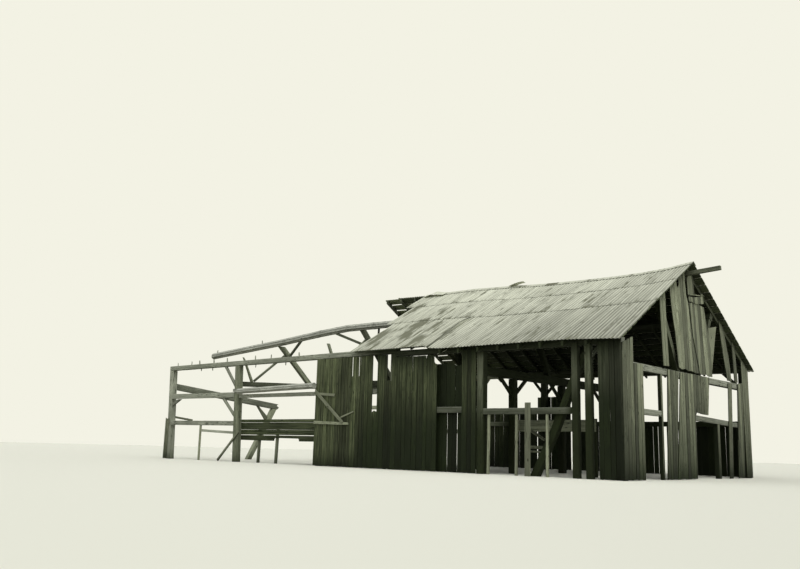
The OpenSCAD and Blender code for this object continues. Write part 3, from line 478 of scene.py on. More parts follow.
def wood(name, dry_and_shaded, hewn, silver, streak_mm, fibre_mm, crack_mm, streaky):
    """Old wood, dry and in painted shade where sheltered, silver where weather reaches it. Streaks,
    fibres, drying cracks and knots run along the grain values of the piece."""
    material, add = new_material(name)
    grain, tone, weather = (
        add("Attribute", {"attribute_name": key}, out=out) for key, out in POINT_VALUES
    )
    # One noise cell is about 1 / scale metres, so a streak of s mm needs a scale of 1000 / s
    streak, fibre, line, patch = (
        add("TexNoise", {"Scale": 1.0, "Detail": detail, "Roughness": roughness}, {"Vector": add(
            "Mapping", {"Scale": (1 / long_m, 1000 / wide_mm, 1000 / wide_mm)}, {"Vector": grain}
        )})
        for long_m, wide_mm, detail, roughness in (
            (1.4, streak_mm, 5.0, 0.6), (0.22, fibre_mm, 4.0, 0.7),
            (0.75, 4 * crack_mm, 2.0, 0.4), (1.1, 600, 3.0, 0.55),
        )
    )
    off = add("Math", {"operation": "SUBTRACT", 1: 0.5}, {0: line})
    off = add("Math", {"operation": "ABSOLUTE"}, {0: off})
    # Knots about 35 mm across, one or two in each metre of a timber
    cell = add("Mapping", {"Scale": (1.5, 4.5, 4.5)}, {"Vector": grain})
    spot = add("TexVoronoi", {"Scale": 1.0}, {"Vector": cell})
    band, here, knot, swing, damp, each, groove_shade, rough = (
        add("MapRange", dict(zip(RANGE, limits)), {"Value": source})
        for source, *limits in (
            # A crack is the thin band where a stretched noise crosses its middle value, in patches
            (off, 0.006, 0.03, 1.0, 0.0),
            (patch, 0.44, 0.56, 0.0, 1.0),
            (spot, 0.05, 0.1, 1.0, 0.0),
            # Streaks, patches and the tone of the whole timber or board
            (streak, 0.33, 0.67, -streaky, streaky),
            (patch, 0.35, 0.65, 0.7, 1.2),
            (tone, 0.0, 1.0, 0.72 if hewn else 0.5, 1.28 if hewn else 1.5),
            # Painted shade in the grooves between fibres, and how matt the wood is
            (fibre, 0.28, 0.5, 0.55, 0.0),
            (streak, 0.0, 1.0, 0.97, 0.78),
        )
    )
    crack = add("Math", {"operation": "MULTIPLY"}, {0: band, 1: here})
    # Colour: dry to silver by weather with painted shade and by streaks, then painted shade in the
    # fibres' grooves and cracks, and knots darkened
    kept = {"operation": "MULTIPLY_ADD", "use_clamp": True}
    bleach = add("Math", kept, {0: swing, 1: weather, 2: weather})
    base = add("Mix", {"data_type": "RGBA", 6: rgba(dry_and_shaded), 7: rgba(silver)}, {0: bleach}, out=2)
    value = add("Math", {"operation": "MULTIPLY"}, {0: damp, 1: each})
    base = add("HueSaturation", {}, {"Color": base, "Value": value})
    dark = add("Math", {"operation": "MAXIMUM"}, {0: groove_shade, 1: crack})
    dark = add("Math", {"operation": "MAXIMUM"}, {0: dark, 1: knot})
    base = add("Mix", {"data_type": "RGBA", 7: rgba(dry_and_shaded, 0.5)}, {0: dark, 6: base}, out=2)
    # Relief: fibres, deeper cracks, and on hewn faces the hollows that an axe leaves 130 mm apart
    relief = add("Bump", {"Strength": 0.55, "Distance": 0.003}, {"Height": fibre})
    gash = add("Math", {"operation": "MULTIPLY", 1: -1.0}, {0: crack})
    relief = add("Bump", {"Strength": 0.8, "Distance": 0.008}, {"Height": gash, "Normal": relief})
    if hewn:
        chop = add("Mapping", {"Scale": (7.7, 5, 5)}, {"Vector": grain})
        soft = {"feature": "SMOOTH_F1", "Scale": 1.0, "Smoothness": 0.4}
        bite = add("TexVoronoi", soft, {"Vector": chop})
        deep = {"Strength": 0.5, "Distance": 0.012}
        relief = add("Bump", deep, {"Height": bite, "Normal": relief})
    shader = add(
        "BsdfPrincipled", {"Metallic": 0.0, "IOR": 1.5, "Specular IOR Level": 0.3},
        {"Base Color": base, "Roughness": rough, "Normal": relief},
    )
    add("OutputMaterial", {}, {"Surface": shader})
    return material


def galvanised_steel(look):
    """Corrugated galvanised steel, dull with age: flat pale grey zinc, dirt that runs down the
    sheets, dark rust where the zinc has gone, with hardly any gloss left."""
    material, add = new_material("weathered_galvanised_steel")
    # Lay is metres along the ridge, down the slope and the sheet's own number
    lay, tone, wear = (
        add("Attribute", {"attribute_name": key}, out=out) for key, out in POINT_VALUES
    )
    # Cells along the ridge and down the slope: runs of dirt 62 by 1800 mm, patches 0.8 by 2.2 m,
    # blooms of rust 125 by 900 mm, and spangle of 18 mm, drawn coarser than the real 8 mm to show
    runs, patches, blooms, grains = (
        add("Mapping", {"Scale": (along, down, 1)}, {"Vector": lay})
        for along, down in ((16, 0.55), (1.3, 0.45), (8, 1.1), (55, 55))
    )
    run, patch, bloom = (
        add("TexNoise", {"Scale": 1.0, "Detail": detail, "Roughness": roughness}, {"Vector": cells})
        for cells, detail, roughness in (
            (runs, 4.0, 0.6), (patches, 5.0, 0.62), (blooms, 5.0, 0.65)
        )
    )
    spangle = add("TexVoronoi", {"Scale": 1.0}, {"Vector": grains}, out="Color")
    spangle = add("SeparateColor", {}, {"Color": spangle})
    dull, each, grit = (
        add("MapRange", dict(zip(RANGE, limits)), {"Value": source})
        for source, *limits in (
            (run, 0.3, 0.7, 0.0, 1.0),
            # Tone is the sheet's own tone with painted light: painted shade in the valleys, and
            # darker towards the eave and the gable, standing in for the sky's fading reflection
            (tone, 0.0, 1.0, 0.4, 1.34),
            (spangle, 0.0, 1.0, 0.95, 1.05),
        )
    )
    zinc, bright = rgba(look.zinc, 0.76), rgba(look.bright, 1.06)
    base = add("Mix", {"data_type": "RGBA", 6: zinc, 7: bright}, {0: dull}, out=2)
    value = add("Math", {"operation": "MULTIPLY"}, {0: each, 1: grit})
    base = add("HueSaturation", {}, {"Color": base, "Value": value})
    # Rust grows where the wear value is high, and nowhere while it is 0
    grown = add("Math", {"operation": "MULTIPLY_ADD", 1: 0.4}, {0: wear, 2: patch})
    grown = add("Math", {"operation": "MULTIPLY_ADD", 1: 1.4}, {0: bloom, 2: grown})
    rust = add("MapRange", dict(zip(RANGE, (1.36, 1.56, 0.0, 0.9))), {"Value": grown})
    base = add("Mix", {"data_type": "RGBA", 7: rgba(look.rust)}, {0: rust, 6: base}, out=2)
    # Zinc keeps a little of its metal look, and rust has none and is rougher
    metallic, rough = (
        add("MapRange", {"To Min": sound, "To Max": rusted}, {"Value": rust})
        for sound, rusted in ((0.35, 0.0), (0.52, 0.9))
    )
    relief = add("Bump", {"Strength": 0.35, "Distance": 0.004}, {"Height": bloom})
    shader = add(
        "BsdfPrincipled", {},
        {"Base Color": base, "Metallic": metallic, "Roughness": rough, "Normal": relief},
    )
    add("OutputMaterial", {}, {"Surface": shader})
    return material


def finish_for(context, slot):
    """The material of a slot of the record. All are made when the first is asked for."""
    timber, board = context.scene.barn_timber, context.scene.barn_board
    # Name, look, weathered colour, widths of streaks, fibres and cracks in mm, and streakiness
    recipes = {
        # Silvered hewn oak: pale, dry and streaked, with long drying cracks
        "grey_timber": ("silvered_hewn_oak", timber, timber.grey, 42, 5, 9, 0.35),
        # Sun bleached hewn log: the palest wood, its streaks soft
        "bleached_log": ("bleached_hewn_log", timber, timber.pale, 36, 5, 8, 0.16),
        # Hewn oak out of the worst weather: grey brown, cracks still deep
        "brown_timber": ("grey_brown_hewn_oak", timber, timber.brown, 45, 5, 9, 0.4),
        # Hewn oak that has stayed dry, with painted shade: dark and even
        "dark_timber": ("dark_hewn_oak", timber, timber.dark, 50, 6, 8, 0.35),
        # Rough sawn pine of the long walls: dark, with grey rain streaks down each board
        "dark_boards": ("dark_sawn_pine", board, board.dark, 34, 4, 6, 1.1),
        # Rough sawn pine in the sun: silver grey, with raised fibres
        "grey_boards": ("silvered_sawn_pine", board, board.grey, 30, 4, 7, 0.5),
        # Rough sawn pine under the sheets: the darkest, hardly weathered and in painted shade
        "roof_boards": ("sheltered_sawn_pine", board, board.roof, 34, 5, 7, 0.45),
    }
    if not FINISHES:
        FINISHES["roof_metal"] = galvanised_steel(context.scene.barn_roof)
        for key, (name, look, *rest) in recipes.items():
            FINISHES[key] = wood(name, look.dry_and_shaded, look is timber, *rest)
    return FINISHES[slot]


# Pieces


def worked(context, nodes, ending, slot=None):
    """Gives each CAD node's name, random numbers and an empty shape, and once the shape is filled
    makes it the piece that replaces the node."""
    for node in nodes:
        shape = Shape()
        yield node, Random(node), shape
        shape.piece(context, node + ending, slot or SLOTS[node], node)


def make_timbers(context, nodes, step=1.0, depth=1.0, arris=1.0, exposure=1.0, least=0.0):
    """Replaces each of these CAD nodes with hewn timbers. Step, depth, arris and exposure are
    shares of the usual ones, and least is the least weather, with painted shade, that they get."""
    look = context.scene.barn_timber
    sizes = look.hew_step * step, look.hew_depth * depth, look.arris * arris
    for node, rng, shape in worked(context, nodes, "_hewn"):
        for solid in solids_of(node):
            ways = hew(solid, rng, *sizes)
            shape.add_wood(solid, ways, rng, rng.random(), exposure, least)


def make_boards(
    context, nodes, width=1.0, ragged=1.0, level=False, exposure=1.0, least=0.0, slot=None
):
    """Replaces each of these CAD nodes with single boards, upright unless level, each pushed out by
    up to 4 mm."""
    look = context.scene.barn_board
    for node, rng, shape in worked(context, nodes, "_sawn", slot):
        for panel in solids_of(node):
            along = None if level else panel_way(panel)
            for parts in saw_boards(panel, rng, look.width * width, look.joint, along):
                tone = rng.random()
                push = rng.uniform(0, 0.004)
                for board in parts:
                    ways = directions(board, along)
                    out = push if ways[2].dot(outward(board)) > 0 else -push
                    weather_board(board, rng, ways, look.ragged * ragged, out)
                    shape.add_wood(board, ways, rng, tone, exposure, least)
            panel.free()


def panel_way(panel):
    """The way a panel's boards run: up in its own plane, or along it where it lies flat and low."""
    broad = max(panel.faces, key=lambda f: f.calc_area()).normal
    up = (UP - broad * UP.dot(broad)).normalized()
    low, high = spread(panel, up)
    left, right = spread(panel, up.cross(broad))
    return None if high - low < min(0.5, right - left) else up


def outward(solid):
    """From the barn's middle out through a solid, on the wall that it stands in."""
    middle = middle_of(solid)
    return ALONG_RIDGE if middle.x > 10.0 else Vector((0, middle.y, 0))


class BARN_OT_posts(Operator):
    """Makes the posts of the walls, the inner posts and the leaning post"""

    bl_idname = "barn.posts"
    bl_label = "Posts"

    def execute(self, context):
        make_timbers(context, ["left_corner_post", "front_posts", "back_posts"], exposure=1.1)
        make_timbers(context, ["bay_posts", "leaning_centre_post"], arris=0.9, exposure=1.4)
        make_timbers(context, ["aisle_posts"], exposure=0.6)
        return {"FINISHED"}


class BARN_OT_beams(Operator):
    """Makes the wall plates, the tie beams, the gable's low beam and the girts"""

    bl_idname = "barn.beams"
    bl_label = "Plates, tie beams and girts"

    def execute(self, context):
        make_timbers(context, ["front_plate", "back_plate"])
        make_timbers(context, ["left_tie_beam"], exposure=0.6)
        make_timbers(context, ["right_tie_beam", "right_lower_beam"])
        # Painted shade: a lower exposure darkens the inner tie beams
        make_timbers(context, ["tie_beams"], exposure=0.7)
        make_timbers(context, ["front_girts", "back_girts"], arris=0.8, exposure=1.7)
        make_timbers(context, ["hewn_log"], step=0.7, depth=1.6, exposure=1.25)
        return {"FINISHED"}


class BARN_OT_braces(Operator):
    """Makes the knee braces"""

    bl_idname = "barn.braces"
    bl_label = "Braces"

    def execute(self, context):
        make_timbers(context, ["front_braces", "back_braces", "tie_braces"], depth=0.7, arris=0.6)
        return {"FINISHED"}


class BARN_OT_roof_frame(Operator):
    """Makes the purlins, their canted posts, the rafters and the beam under the ridge"""

    bl_idname = "barn.roof_frame"
    bl_label = "Purlins and rafters"

    def execute(self, context):
        make_timbers(context, ["slumped_purlin"], depth=1.6, arris=1.4, exposure=1.25)
        make_timbers(context, ["leaning_purlin_posts"], exposure=1.1)
        make_timbers(context, ["front_purlin", "back_purlin", "purlin_posts"], exposure=0.5)
        rafters = ["front_rafters", "back_rafters"]
        make_timbers(context, rafters, step=2.4, depth=0.5, arris=0.45, exposure=0.5)
        make_timbers(context, ["hay_beam"], depth=0.8, arris=0.7, least=0.6)
        return {"FINISHED"}


class BARN_OT_roof_boards(Operator):
    """Makes the spaced roof boards, each row cut into lengths"""

    bl_idname = "barn.roof_boards"
    bl_label = "Roof boards"

    def execute(self, context):
        mean = context.scene.barn_board.roof_length
        nodes = ["front_roof_boards", "back_roof_boards", "bare_roof_boards"]
        for node, rng, shape in worked(context, nodes, "_sawn"):
            # Painted light: the bare rows' shaded undersides are kept nearly as pale as their tops
            least = 0.7 if node == "bare_roof_boards" else 0.05
            for row in solids_of(node):
                low, high = spread(row, ALONG_RIDGE)
                for a, b in random_marks(low, high, mean, scatter=0.3, last=1.4, rng=rng):
                    board = row.copy()
                    if a > low:
                        cut(board, ALONG_RIDGE, a + 0.004, keep_above=True)
                    if b < high:
                        cut(board, -ALONG_RIDGE, -b, keep_above=True)
                    ways = directions(board, ALONG_RIDGE)
                    wear_arris(board, width=0.003, segments=1)
                    shape.add_wood(board, ways, rng, rng.random(), 0.7, least)
                row.free()
        return {"FINISHED"}


# Rust patches of the front and the back slope: places along the ridge and down the slope, half
# width and half length, and lean along the ridge for each metre down
RUST_SPOTS = (
    (
        (0.5, 4.75, 0.3, 0.95, 0.3), (1.78, 4.65, 0.33, 0.75, 0.35), (1.55, 3.6, 0.32, 0.5, 0.1),
        (1.8, 2.35, 0.2, 0.5, 0.25), (2.53, 3.85, 0.14, 0.45, 0.1), (2.6, 5.1, 0.2, 0.4, 0.2),
        (0.02, 1.9, 0.16, 0.7, 0.0), (-0.1, 5.4, 0.2, 0.5, 0.2),
    ),
    (
        (-2.2, 4.6, 0.35, 0.9, 0.2), (-0.4, 3.1, 0.3, 0.8, -0.2), (3.4, 5.1, 0.4, 0.6, 0.1),
        (6.2, 1.4, 0.2, 0.6, 0.0), (8.9, 4.4, 0.35, 0.8, 0.3),
    ),
)
# Height that the places down the slope are measured from
RIDGE_HEIGHT = 6.85
# Distance between rows of points down a sheet, and the lift of an end sheet's loose edge
SHEET_ROW, LOOSE_LIFT = 0.25, 0.05
# A CAD sheet narrower than this is one of the ridge's strips
STRIP_WIDTH = 0.5
# The strip that has curled up at the ridge's left end: place along the ridge and height
RIDGE_CURL = (
    (-0.62, 6.862), (-0.4, 6.908), (-0.22, 6.954), (-0.13, 6.97), (-0.04, 6.956), (0.16, 6.912),
    (0.42, 6.883),
)
# The loose scrap's places along the ridge and heights over it, and the rusted cap's places
SCRAP = ((3.41, 0.004), (3.55, 0.045), (3.7, 0.085), (3.84, 0.108), (3.97, 0.118))
CAP = (5.0, 5.16, 5.32, 5.48)


def rib_lines(solid):
    """Top points of a CAD sheet at each crest and valley along it: (inner point, outer point)."""
    rows = {}
    for v in solid.verts:
        rows.setdefault(round(v.co.x, 3), []).append(v.co.copy())
    lines = []
    for _, points in sorted(rows.items()):
        points.sort(key=lambda p: abs(p.y))
        lines.append([max(pair, key=lambda p: p.z) for pair in (points[:2], points[-2:])])
    return lines


def round_ribs(lines, steps):
    """Points along a sheet's inner and outer end, round between the crests and valleys of its
    lines, and for each point how high on its rib it is."""
    inner, outer, crest = [], [], []
    for (a0, b0), (a1, b1) in zip(lines, lines[1:]):
        for k in range(steps):
            t = k / steps
            rise = (1 - cos(pi * t)) / 2
            crest.append(rise if b1.z > b0.z else 1 - rise)
            for side, p, q in ((inner, a0, a1), (outer, b0, b1)):
                side.append(Vector((
                    p.x + (q.x - p.x) * t, p.y + (q.y - p.y) * t, p.z + (q.z - p.z) * rise
                )))
    return inner + [lines[-1][0]], outer + [lines[-1][1]], crest + [1 - crest[-2]]


def rust_at(x, down, spots):
    """How near the middle of a rust patch a place on the roof is, 1 at most."""
    return max(
        exp(-((x - at - lean * (down - low)) / wide) ** 2 - ((down - low) / long) ** 2)
        for at, low, wide, long, lean in spots
    )


def sheet_faces(rows, across, turn=1):
    """Faces of a sheet with a thickness: a grid of points, across in each row, the same grid below
    it, and the rim. With a turn of -1 the grid is seen from its other side."""
    below = (rows + 1) * across
    faces = []
    for j in range(rows):
        for i in range(across - 1):
            a = j * across + i
            quad = [a, a + 1, a + across + 1, a + across]
            faces += [quad[::-turn], [below + k for k in quad][::turn]]
    foot, side = rows * across, across - 1
    rim = [*range(side), *range(side, foot + side, across)]
    rim += [*range(foot + side, foot, -1), *range(foot, 0, -across)]
    return faces + [[a, b, below + b, below + a][::turn] for a, b in zip(rim, rim[1:] + rim[:1])]


def roll_sheet(shape, lines, look, rng, number, roof_left):
    """Adds one corrugated sheet with round ribs through the crests and valleys of its lines."""
    inner, outer, crest = round_ribs(lines, look.curve_steps)
    down = (outer[0] - inner[0]).length
    rows = max(3, ceil(down / SHEET_ROW))
    across = len(inner)
    seed = Vector((number * 7.3, 0, 0))
    loose = LOOSE_LIFT * max(0.0, 1 - (inner[0].x - roof_left) / 0.4)
    own_tone = rng.uniform(-0.1, 0.1)
    front = inner[0].y < 0
    points, lay, wear, tone_and_shade = [], [], [], []
    for j in range(rows + 1):
        t = j / rows
        for i, (p, q) in enumerate(zip(inner, outer)):
            at = p.lerp(q, t)
            from_edge = 1 - i / (across - 1)
            bend = look.dent * noise.noise(Vector((at.x * 1.1, at.y * 1.4, 0)) + seed)
            bend += loose * from_edge ** 2 * (0.4 + 0.6 * abs(noise.noise(at * 1.7 + seed)))
            points.append(at + Vector((0, 0, bend - look.dent)))
            # Each sheet's finish starts at a place of its own
            lay.append((at.x, down * t + 3.1 * (number % 7), number * 0.37))
            # Rust in the patches, under the lap of the next course and at the sheet's foot. Where
            # the lap's band shows below the next course's edge, it is painted shadow
            from_ridge = hypot(at.y, RIDGE_HEIGHT - at.z)
            spot = rust_at(at.x, from_ridge, RUST_SPOTS[0 if front else 1])
            lapped = exp(-((down * t - 0.11) / 0.05) ** 2)
            foot = exp(-(down * (1 - t)) / 0.12)
            wear.append(0.2 + 1.1 * spot + 0.5 * lapped + 0.35 * foot)
            # Painted light: darker towards the eave and the gable, standing in for the sky's fading
            # reflection, and painted shade in the valleys
            painted_shading = 0.08 * from_ridge + 0.045 * max(0.0, at.x - 3) + 0.62 * (1 - crest[i])
            tone_and_shade.append(clamp(1.27 + own_tone - painted_shading))
    points += [p - UP * look.gauge for p in points]
    faces = sheet_faces(rows, across, 1 if front else -1)
    shape.add(points, faces, lay * 2, tone_and_shade * 2, wear * 2)


def smooth_strip(shape, solid, rng):
    """Adds a straight strip of the ridge, cut fine enough to dent a little."""
    low, high = spread(solid, ALONG_RIDGE)
    count = max(4, ceil((high - low) / 0.3))
    for k in range(1, count):
        cut(solid, ALONG_RIDGE, low + (high - low) * k / count)
    seed = rng.uniform(-20, 20)
    for v in solid.verts:
        v.co.z -= 0.004 * abs(noise.noise(Vector((v.co.x * 1.6, seed, 0))))
    lay = [(v.co.x, abs(v.co.y) + 20, seed) for v in solid.verts]
    shape.add_solid(solid, lay, rng.random(), [0.25] * len(lay))


def bent_strip(shape, line, y_low, y_high, slope, gauge, tone, wear):
    """Adds a strip that follows points (x, z) along the ridge and folds down on both sides."""
    fold = 0.012
    rows = (y_low, y_low / 2, -fold, 0.0, fold, y_high / 2, y_high)
    points = [
        (x, y, z - slope * abs(y) - under) for under in (0.0, gauge) for x, z in line for y in rows
    ]
    lay = [(x, abs(y) + 20, 3.0) for x, y, _ in points]
    faces = sheet_faces(len(line) - 1, len(rows))
    shape.add(points, faces, lay, tone, [wear] * len(points))


class BARN_OT_roof_sheets(Operator):
    """Rolls the corrugated sheets with round ribs, each where its CAD sheet lies"""

    bl_idname = "barn.roof_sheets"
    bl_label = "Corrugated sheets"

    def execute(self, context):
        look = context.scene.barn_roof
        for node, rng, shape in worked(context, ["front_roof_metal", "back_roof_metal"], "_rolled"):
            solids = solids_of(node)
            roof_left = min(spread(s, ALONG_RIDGE)[0] for s in solids)
            for number, solid in enumerate(solids):
                y_low, y_high = spread(solid, ACROSS_BARN)
                if y_high - y_low >= STRIP_WIDTH:
                    roll_sheet(shape, rib_lines(solid), look, rng, number, roof_left)
                    solid.free()
                # The strip at the ridge's left end has curled up
                elif spread(solid, ALONG_RIDGE)[1] < 0.2:
                    bent_strip(shape, RIDGE_CURL, -0.34, 0.02, 0.45, look.gauge, 1.0, 0.0)
                    solid.free()
                else:
                    smooth_strip(shape, solid, rng)
        return {"FINISHED"}


class BARN_OT_ridge_scraps(Operator):
    """Makes the loose scrap of sheet and the rusted cap that lie on the ridge"""

    bl_idname = "barn.ridge_scraps"
    bl_label = "Ridge scraps"

    def execute(self, context):
        gauge = context.scene.barn_roof.gauge
        shape = Shape()
        # The scrap's left end rests on the ridge, and its right end has sprung up
        foot, _ = heights_at("front_roof_metal", SCRAP[0][0], -0.004)
        scrap = [(x, foot + up) for x, up in SCRAP]
        bent_strip(shape, scrap, -0.17, 0.14, 0.22, gauge, 0.95, 0.0)
        cap = [(x, heights_at("front_roof_metal", x, -0.004)[0] + 0.006) for x in CAP]
        bent_strip(shape, cap, -0.2, 0.2, 0.575, gauge, 0.1, 1.5)
        shape.piece(context, "ridge_scraps", "roof_metal")
        return {"FINISHED"}


class BARN_OT_walls(Operator):
    """Makes the walls' boards and the gable's studs"""

    bl_idname = "barn.walls"
    bl_label = "Wall boards"

    def execute(self, context):
        make_boards(context, ["front_boards"])
        shaded = ["right_panel_boards", "recess_boards", "corner_boards"]
        make_boards(context, shaded, exposure=0.9)
        make_boards(context, ["gable_upper_boards"], ragged=1.2)
        make_boards(context, ["gable_lower_boards"], ragged=1.2, exposure=0.8)
        make_timbers(context, ["gable_studs"], arris=0.5, depth=0.6)
        make_boards(context, ["back_boards"])
        return {"FINISHED"}


class BARN_OT_stalls(Operator):
    """Makes the stall and manger boards with their posts and studs, and the loose wood"""

    bl_idname = "barn.stalls"
    bl_label = "Stalls and loose wood"

    def execute(self, context):
        make_boards(context, ["stall_panel"], width=1.2, level=True, exposure=0.6)
        # Pale in the open bay's light, so they take the silvered pine
        make_boards(
            context, ["manger_boards"], width=1.2, level=True, least=0.75, slot="grey_boards"
        )
        make_timbers(context, ["stall_posts", "fallen_timber"], arris=0.8)
        make_timbers(context, ["bay_uprights"], depth=0.5, arris=0.35, least=1.0)
        make_timbers(context, ["loose_boards"], depth=0.5, arris=0.35, exposure=1.5)
        return {"FINISHED"}


# Stakes that stand up from the front plate and hang below it: place and lean along the barn, and
# length outside the plate
STAKES_UP = (
    (-10.87, 0.01, 0.15), (-9.88, 0.05, 0.16), (-9.27, 0.0, 0.17), (-8.25, -0.01, 0.16),
    (-7.37, 0.01, 0.18), (-5.54, 0.0, 0.17), (-4.58, 0.02, 0.16), (-2.94, -0.02, 0.15),
)
STAKES_DOWN = (
    (-9.13, 0.01, 0.1), (-8.31, 0.0, 0.12), (-6.63, 0.02, 0.13), (-5.5, 0.0, 0.12),
    (-3.72, 0.02, 0.12),
)
# Stakes in the purlin that has slipped: place along the barn, and height above it
LOG_STAKES = ((-10.85, 0.12), (-7.71, 0.14))
# The stick nailed to the plate over the recess: its foot and its tip
STICK = (3.86, -4.89, 3.71), (4.24, -4.888, 3.84)
# A peg sits this far from the brace's end, this deep in it and stands out this far
PEG_INSET, PEG_DEEP, PEG_PROUD = 0.13, 0.02, 0.016
# Share of a stake's length, and its width there as a share of the whole
WHITTLED = ((0, 1.0), (0.3, 1.0), (0.6, 0.96), (0.85, 0.88), (0.97, 0.74), (1.0, 0.45))


def whittle(shape, foot, tip, wide, rng, weather):
    """Adds a whittled peg or stake, a little bent, its end worn round."""
    foot, tip = Vector(foot), Vector(tip)
    way = (tip - foot).normalized()
    side = way.orthogonal().normalized()
    other = way.cross(side)
    sides = 8
    grow = [rng.uniform(0.88, 1.12) for _ in range(sides)]
    bend = rng.uniform(-0.06, 0.06) * (tip - foot).length
    points, faces, grain = [], [], []
    for t, share in WHITTLED:
        at = foot.lerp(tip, t) + side * bend * sin(pi * t)
        for k in range(sides):
            turn = 2 * pi * k / sides
            arm = (side * cos(turn) + other * sin(turn)) * wide * share * grow[k] / 2
            points.append(at + arm)
            run = (at - foot).dot(way) + rng.random() * 0.001
            grain.append((run, arm.dot(side), arm.dot(other)))
    last = sides * (len(WHITTLED) - 1)
    for ring in range(0, last, sides):
        for k in range(sides):
            a, b = ring + k, ring + (k + 1) % sides
            faces.append([a, b, b + sides, a + sides])
    faces += [list(range(sides - 1, -1, -1)), list(range(last, last + sides))]
    shape.add(points, faces, grain, rng.random(), [weather] * len(points))


def heights_at(node, x, y):
    """Highest and lowest place of a CAD node on the upright line at x, y."""
    whole = mesh_of(node)
    tree = BVHTree.FromBMesh(whole)
    whole.free()
    top, under = (tree.ray_cast(Vector((x, y, -20 * way)), UP * way)[0] for way in (-1, 1))
    if top is None:
        raise RuntimeError(f"{node} isn't at {x:.2f}, {y:.2f}")
    return top.z, under.z


def middle_at(node, x):
    """Middle, across the barn, of a CAD node that crosses the plane at x."""
    whole = mesh_of(node)
    line = cut(whole, ALONG_RIDGE, x)
    places = [v.co.y for v in line if isinstance(v, bmesh.types.BMVert)]
    whole.free()
    return (min(places) + max(places)) / 2


class BARN_OT_pegs(Operator):
    """Makes the stakes in the bare plate and the oak pegs in the braces' joints"""

    bl_idname = "barn.pegs"
    bl_label = "Stakes and pegs"

    def execute(self, context):
        look = context.scene.barn_timber
        rng = Random(31)
        stakes = Shape()
        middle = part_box("front_plate")[0].y + 0.12
        for x, lean, tall in STAKES_UP:
            top, _ = heights_at("front_plate", x, middle)
            ends = (x, middle, top - 0.07), (x + lean, middle - 0.01, top + tall)
            whittle(stakes, *ends, look.stake * rng.uniform(0.8, 1.15), rng, 0.8)
        for x, lean, deep in STAKES_DOWN:
            _, under = heights_at("front_plate", x, middle)
            ends = (x, middle, under + 0.06), (x + lean, middle, under - deep)
            whittle(stakes, *ends, look.stake * rng.uniform(0.7, 0.9), rng, 0.5)
        for x, tall in LOG_STAKES:
            middle = middle_at("slumped_purlin", x)
            top, _ = heights_at("slumped_purlin", x, middle)
            ends = (x, middle, top - 0.06), (x, middle, top + tall)
            whittle(stakes, *ends, look.stake * 0.9, rng, 0.9)
        whittle(stakes, *STICK, 0.045, rng, 0.9)
        stakes.piece(context, "plate_stakes", "grey_timber")
        pegs = Shape()
        for solid in solids_of("front_braces") + solids_of("back_braces"):
            along, _, _ = directions(solid)
            low, high = spread(solid, along)
            y_low, y_high = spread(solid, ACROSS_BARN)
            middle = middle_of(solid)
            for place in (low + PEG_INSET, high - PEG_INSET):
                at = middle + along * (place - middle.dot(along))
                face, out = (y_low, -1) if at.y < 0 else (y_high, 1)
                ends = (at.x, face - out * PEG_DEEP, at.z), (at.x, face + out * PEG_PROUD, at.z)
                whittle(pegs, *ends, look.peg, rng, 0.7)
            solid.free()
        pegs.piece(context, "brace_pegs", "brown_timber")
        return {"FINISHED"}


# The camera, from the photo's straight edges: focal length and picture width in pixels, place in
# metres, and its turn, tip and roll in degrees
FOCAL_LENGTH, PICTURE_WIDTH = 829.58, 800
CAMERA_PLACE = (20.597, -25.737, 0.669)
YAW, PITCH, ROLL = -41.497, 11.219, 1.574
# The way to the sun, and its soft disc's width in degrees
SUN_WAY, SUN_DISC = (0.72, -0.32, 0.95), 25
# The even sky light is faintly blue
SKY = (0.95, 0.97, 1, 1)


def rays_that_see(add):
    """1 for the rays that show a thing: straight, mirrored or through glass."""
    rays = add("LightPath").node.outputs
    seen = rays["Is Camera Ray"]
    for kind in ("Is Glossy Ray", "Is Transmission Ray"):
        seen = add("Math", {"operation": "MAXIMUM"}, {0: seen, 1: rays[kind]})
    return seen


def matt_floor(look):
    """Matt pale paint: no gloss, so the barn's shadow stays soft. It gives the barn less light than
    it shows the camera, so that the barn's inside stays dark."""
    material, add = new_material("matt_pale_floor")
    both = {"data_type": "RGBA", 6: rgba(look.ground), 7: rgba(look.floor)}
    seen = add("Mix", both, {0: rays_that_see(add)}, out=2)
    shader = add("BsdfDiffuse", {"Roughness": 1.0}, {"Color": seen})
    add("OutputMaterial", {}, {"Surface": shader})
    return material


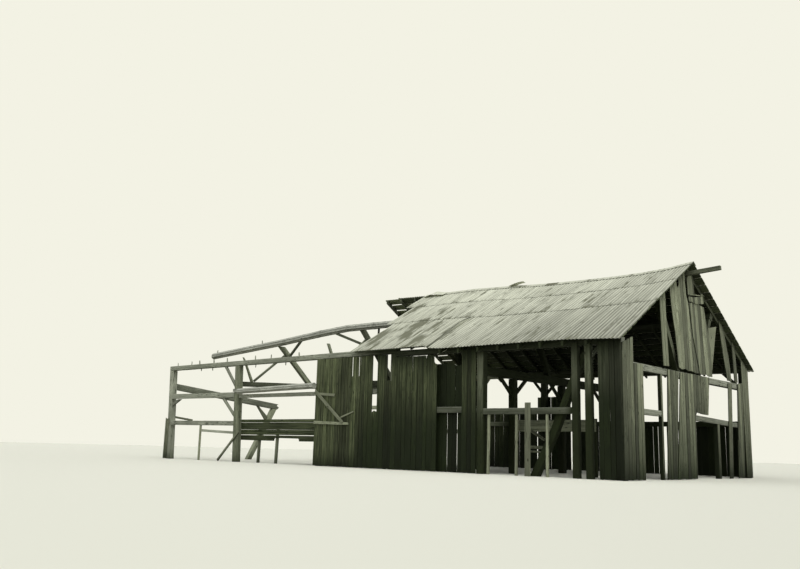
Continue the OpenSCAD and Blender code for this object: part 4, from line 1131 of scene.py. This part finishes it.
class BARN_OT_stage(Operator):
    """Makes the floor, the backdrop, the light and the camera"""

    bl_idname = "barn.stage"
    bl_label = "Stage"

    def execute(self, context):
        look = context.scene.barn_stage
        bpy.ops.mesh.primitive_plane_add(size=look.floor_size)
        floor = context.object
        floor.name = "floor"
        floor.data.materials.append(matt_floor(look))
        world = bpy.data.worlds.new("even_sky")
        context.scene.world = world
        world.use_nodes = True
        world.node_tree.nodes.clear()
        add = partial(add_node, world.node_tree)
        light = add("Background", {"Color": SKY, "Strength": look.sky_light})
        picture = add("Background", {"Color": rgba(look.backdrop), "Strength": 1.0})
        both = add("MixShader", {}, {0: rays_that_see(add), 1: light, 2: picture})
        add("OutputWorld", {}, {"Surface": both})
        sun = bpy.data.lights.new("soft_sun", "SUN")
        sun.energy = look.sun_light
        sun.angle = radians(SUN_DISC)
        turn = Vector(SUN_WAY).to_track_quat("Z", "Y").to_euler()
        put("soft_sun", sun).rotation_euler = turn
        lens = bpy.data.cameras.new("camera")
        lens.lens = FOCAL_LENGTH / PICTURE_WIDTH * lens.sensor_width
        place = Matrix.Translation(CAMERA_PLACE)
        for angle, axis in ((-YAW, "Z"), (90 + PITCH, "X"), (ROLL, "Z")):
            place @= Matrix.Rotation(radians(angle), 4, axis)
        context.scene.camera = put("camera", lens)
        context.scene.camera.matrix_world = place
        context.scene.view_settings.view_transform = "Standard"
        return {"FINISHED"}


SETTINGS = {
    "barn_timber": BarnTimberSettings,
    "barn_board": BarnBoardSettings,
    "barn_roof": BarnRoofSettings,
    "barn_stage": BarnStageSettings,
}
STEPS = (
    BARN_OT_posts, BARN_OT_beams, BARN_OT_braces, BARN_OT_roof_frame, BARN_OT_roof_boards,
    BARN_OT_roof_sheets, BARN_OT_ridge_scraps, BARN_OT_walls, BARN_OT_stalls, BARN_OT_pegs,
    BARN_OT_stage,
)


class BARN_PT_panel(Panel):
    """Lists the barn's settings and steps"""

    bl_idname = "BARN_PT_panel"
    bl_label = "Derelict barn"
    bl_space_type = "VIEW_3D"
    bl_region_type = "UI"
    bl_category = "Barn"

    def draw(self, context):
        for key in SETTINGS:
            box = self.layout.box()
            group = getattr(context.scene, key)
            for name in group.__annotations__:
                box.prop(group, name)
        for step in STEPS:
            self.layout.operator(step.bl_idname)


CLASSES = (*SETTINGS.values(), *STEPS, BARN_PT_panel)


def register():
    for cls in CLASSES:
        bpy.utils.register_class(cls)
    for key, cls in SETTINGS.items():
        setattr(bpy.types.Scene, key, PointerProperty(type=cls))


def unregister():
    for key in SETTINGS:
        delattr(bpy.types.Scene, key)
    for cls in reversed(CLASSES):
        bpy.utils.unregister_class(cls)


def main():
    register()
    for step in STEPS:
        group, name = step.bl_idname.split(".")
        getattr(getattr(bpy.ops, group), name)()


if __name__ == "__main__":
    main()
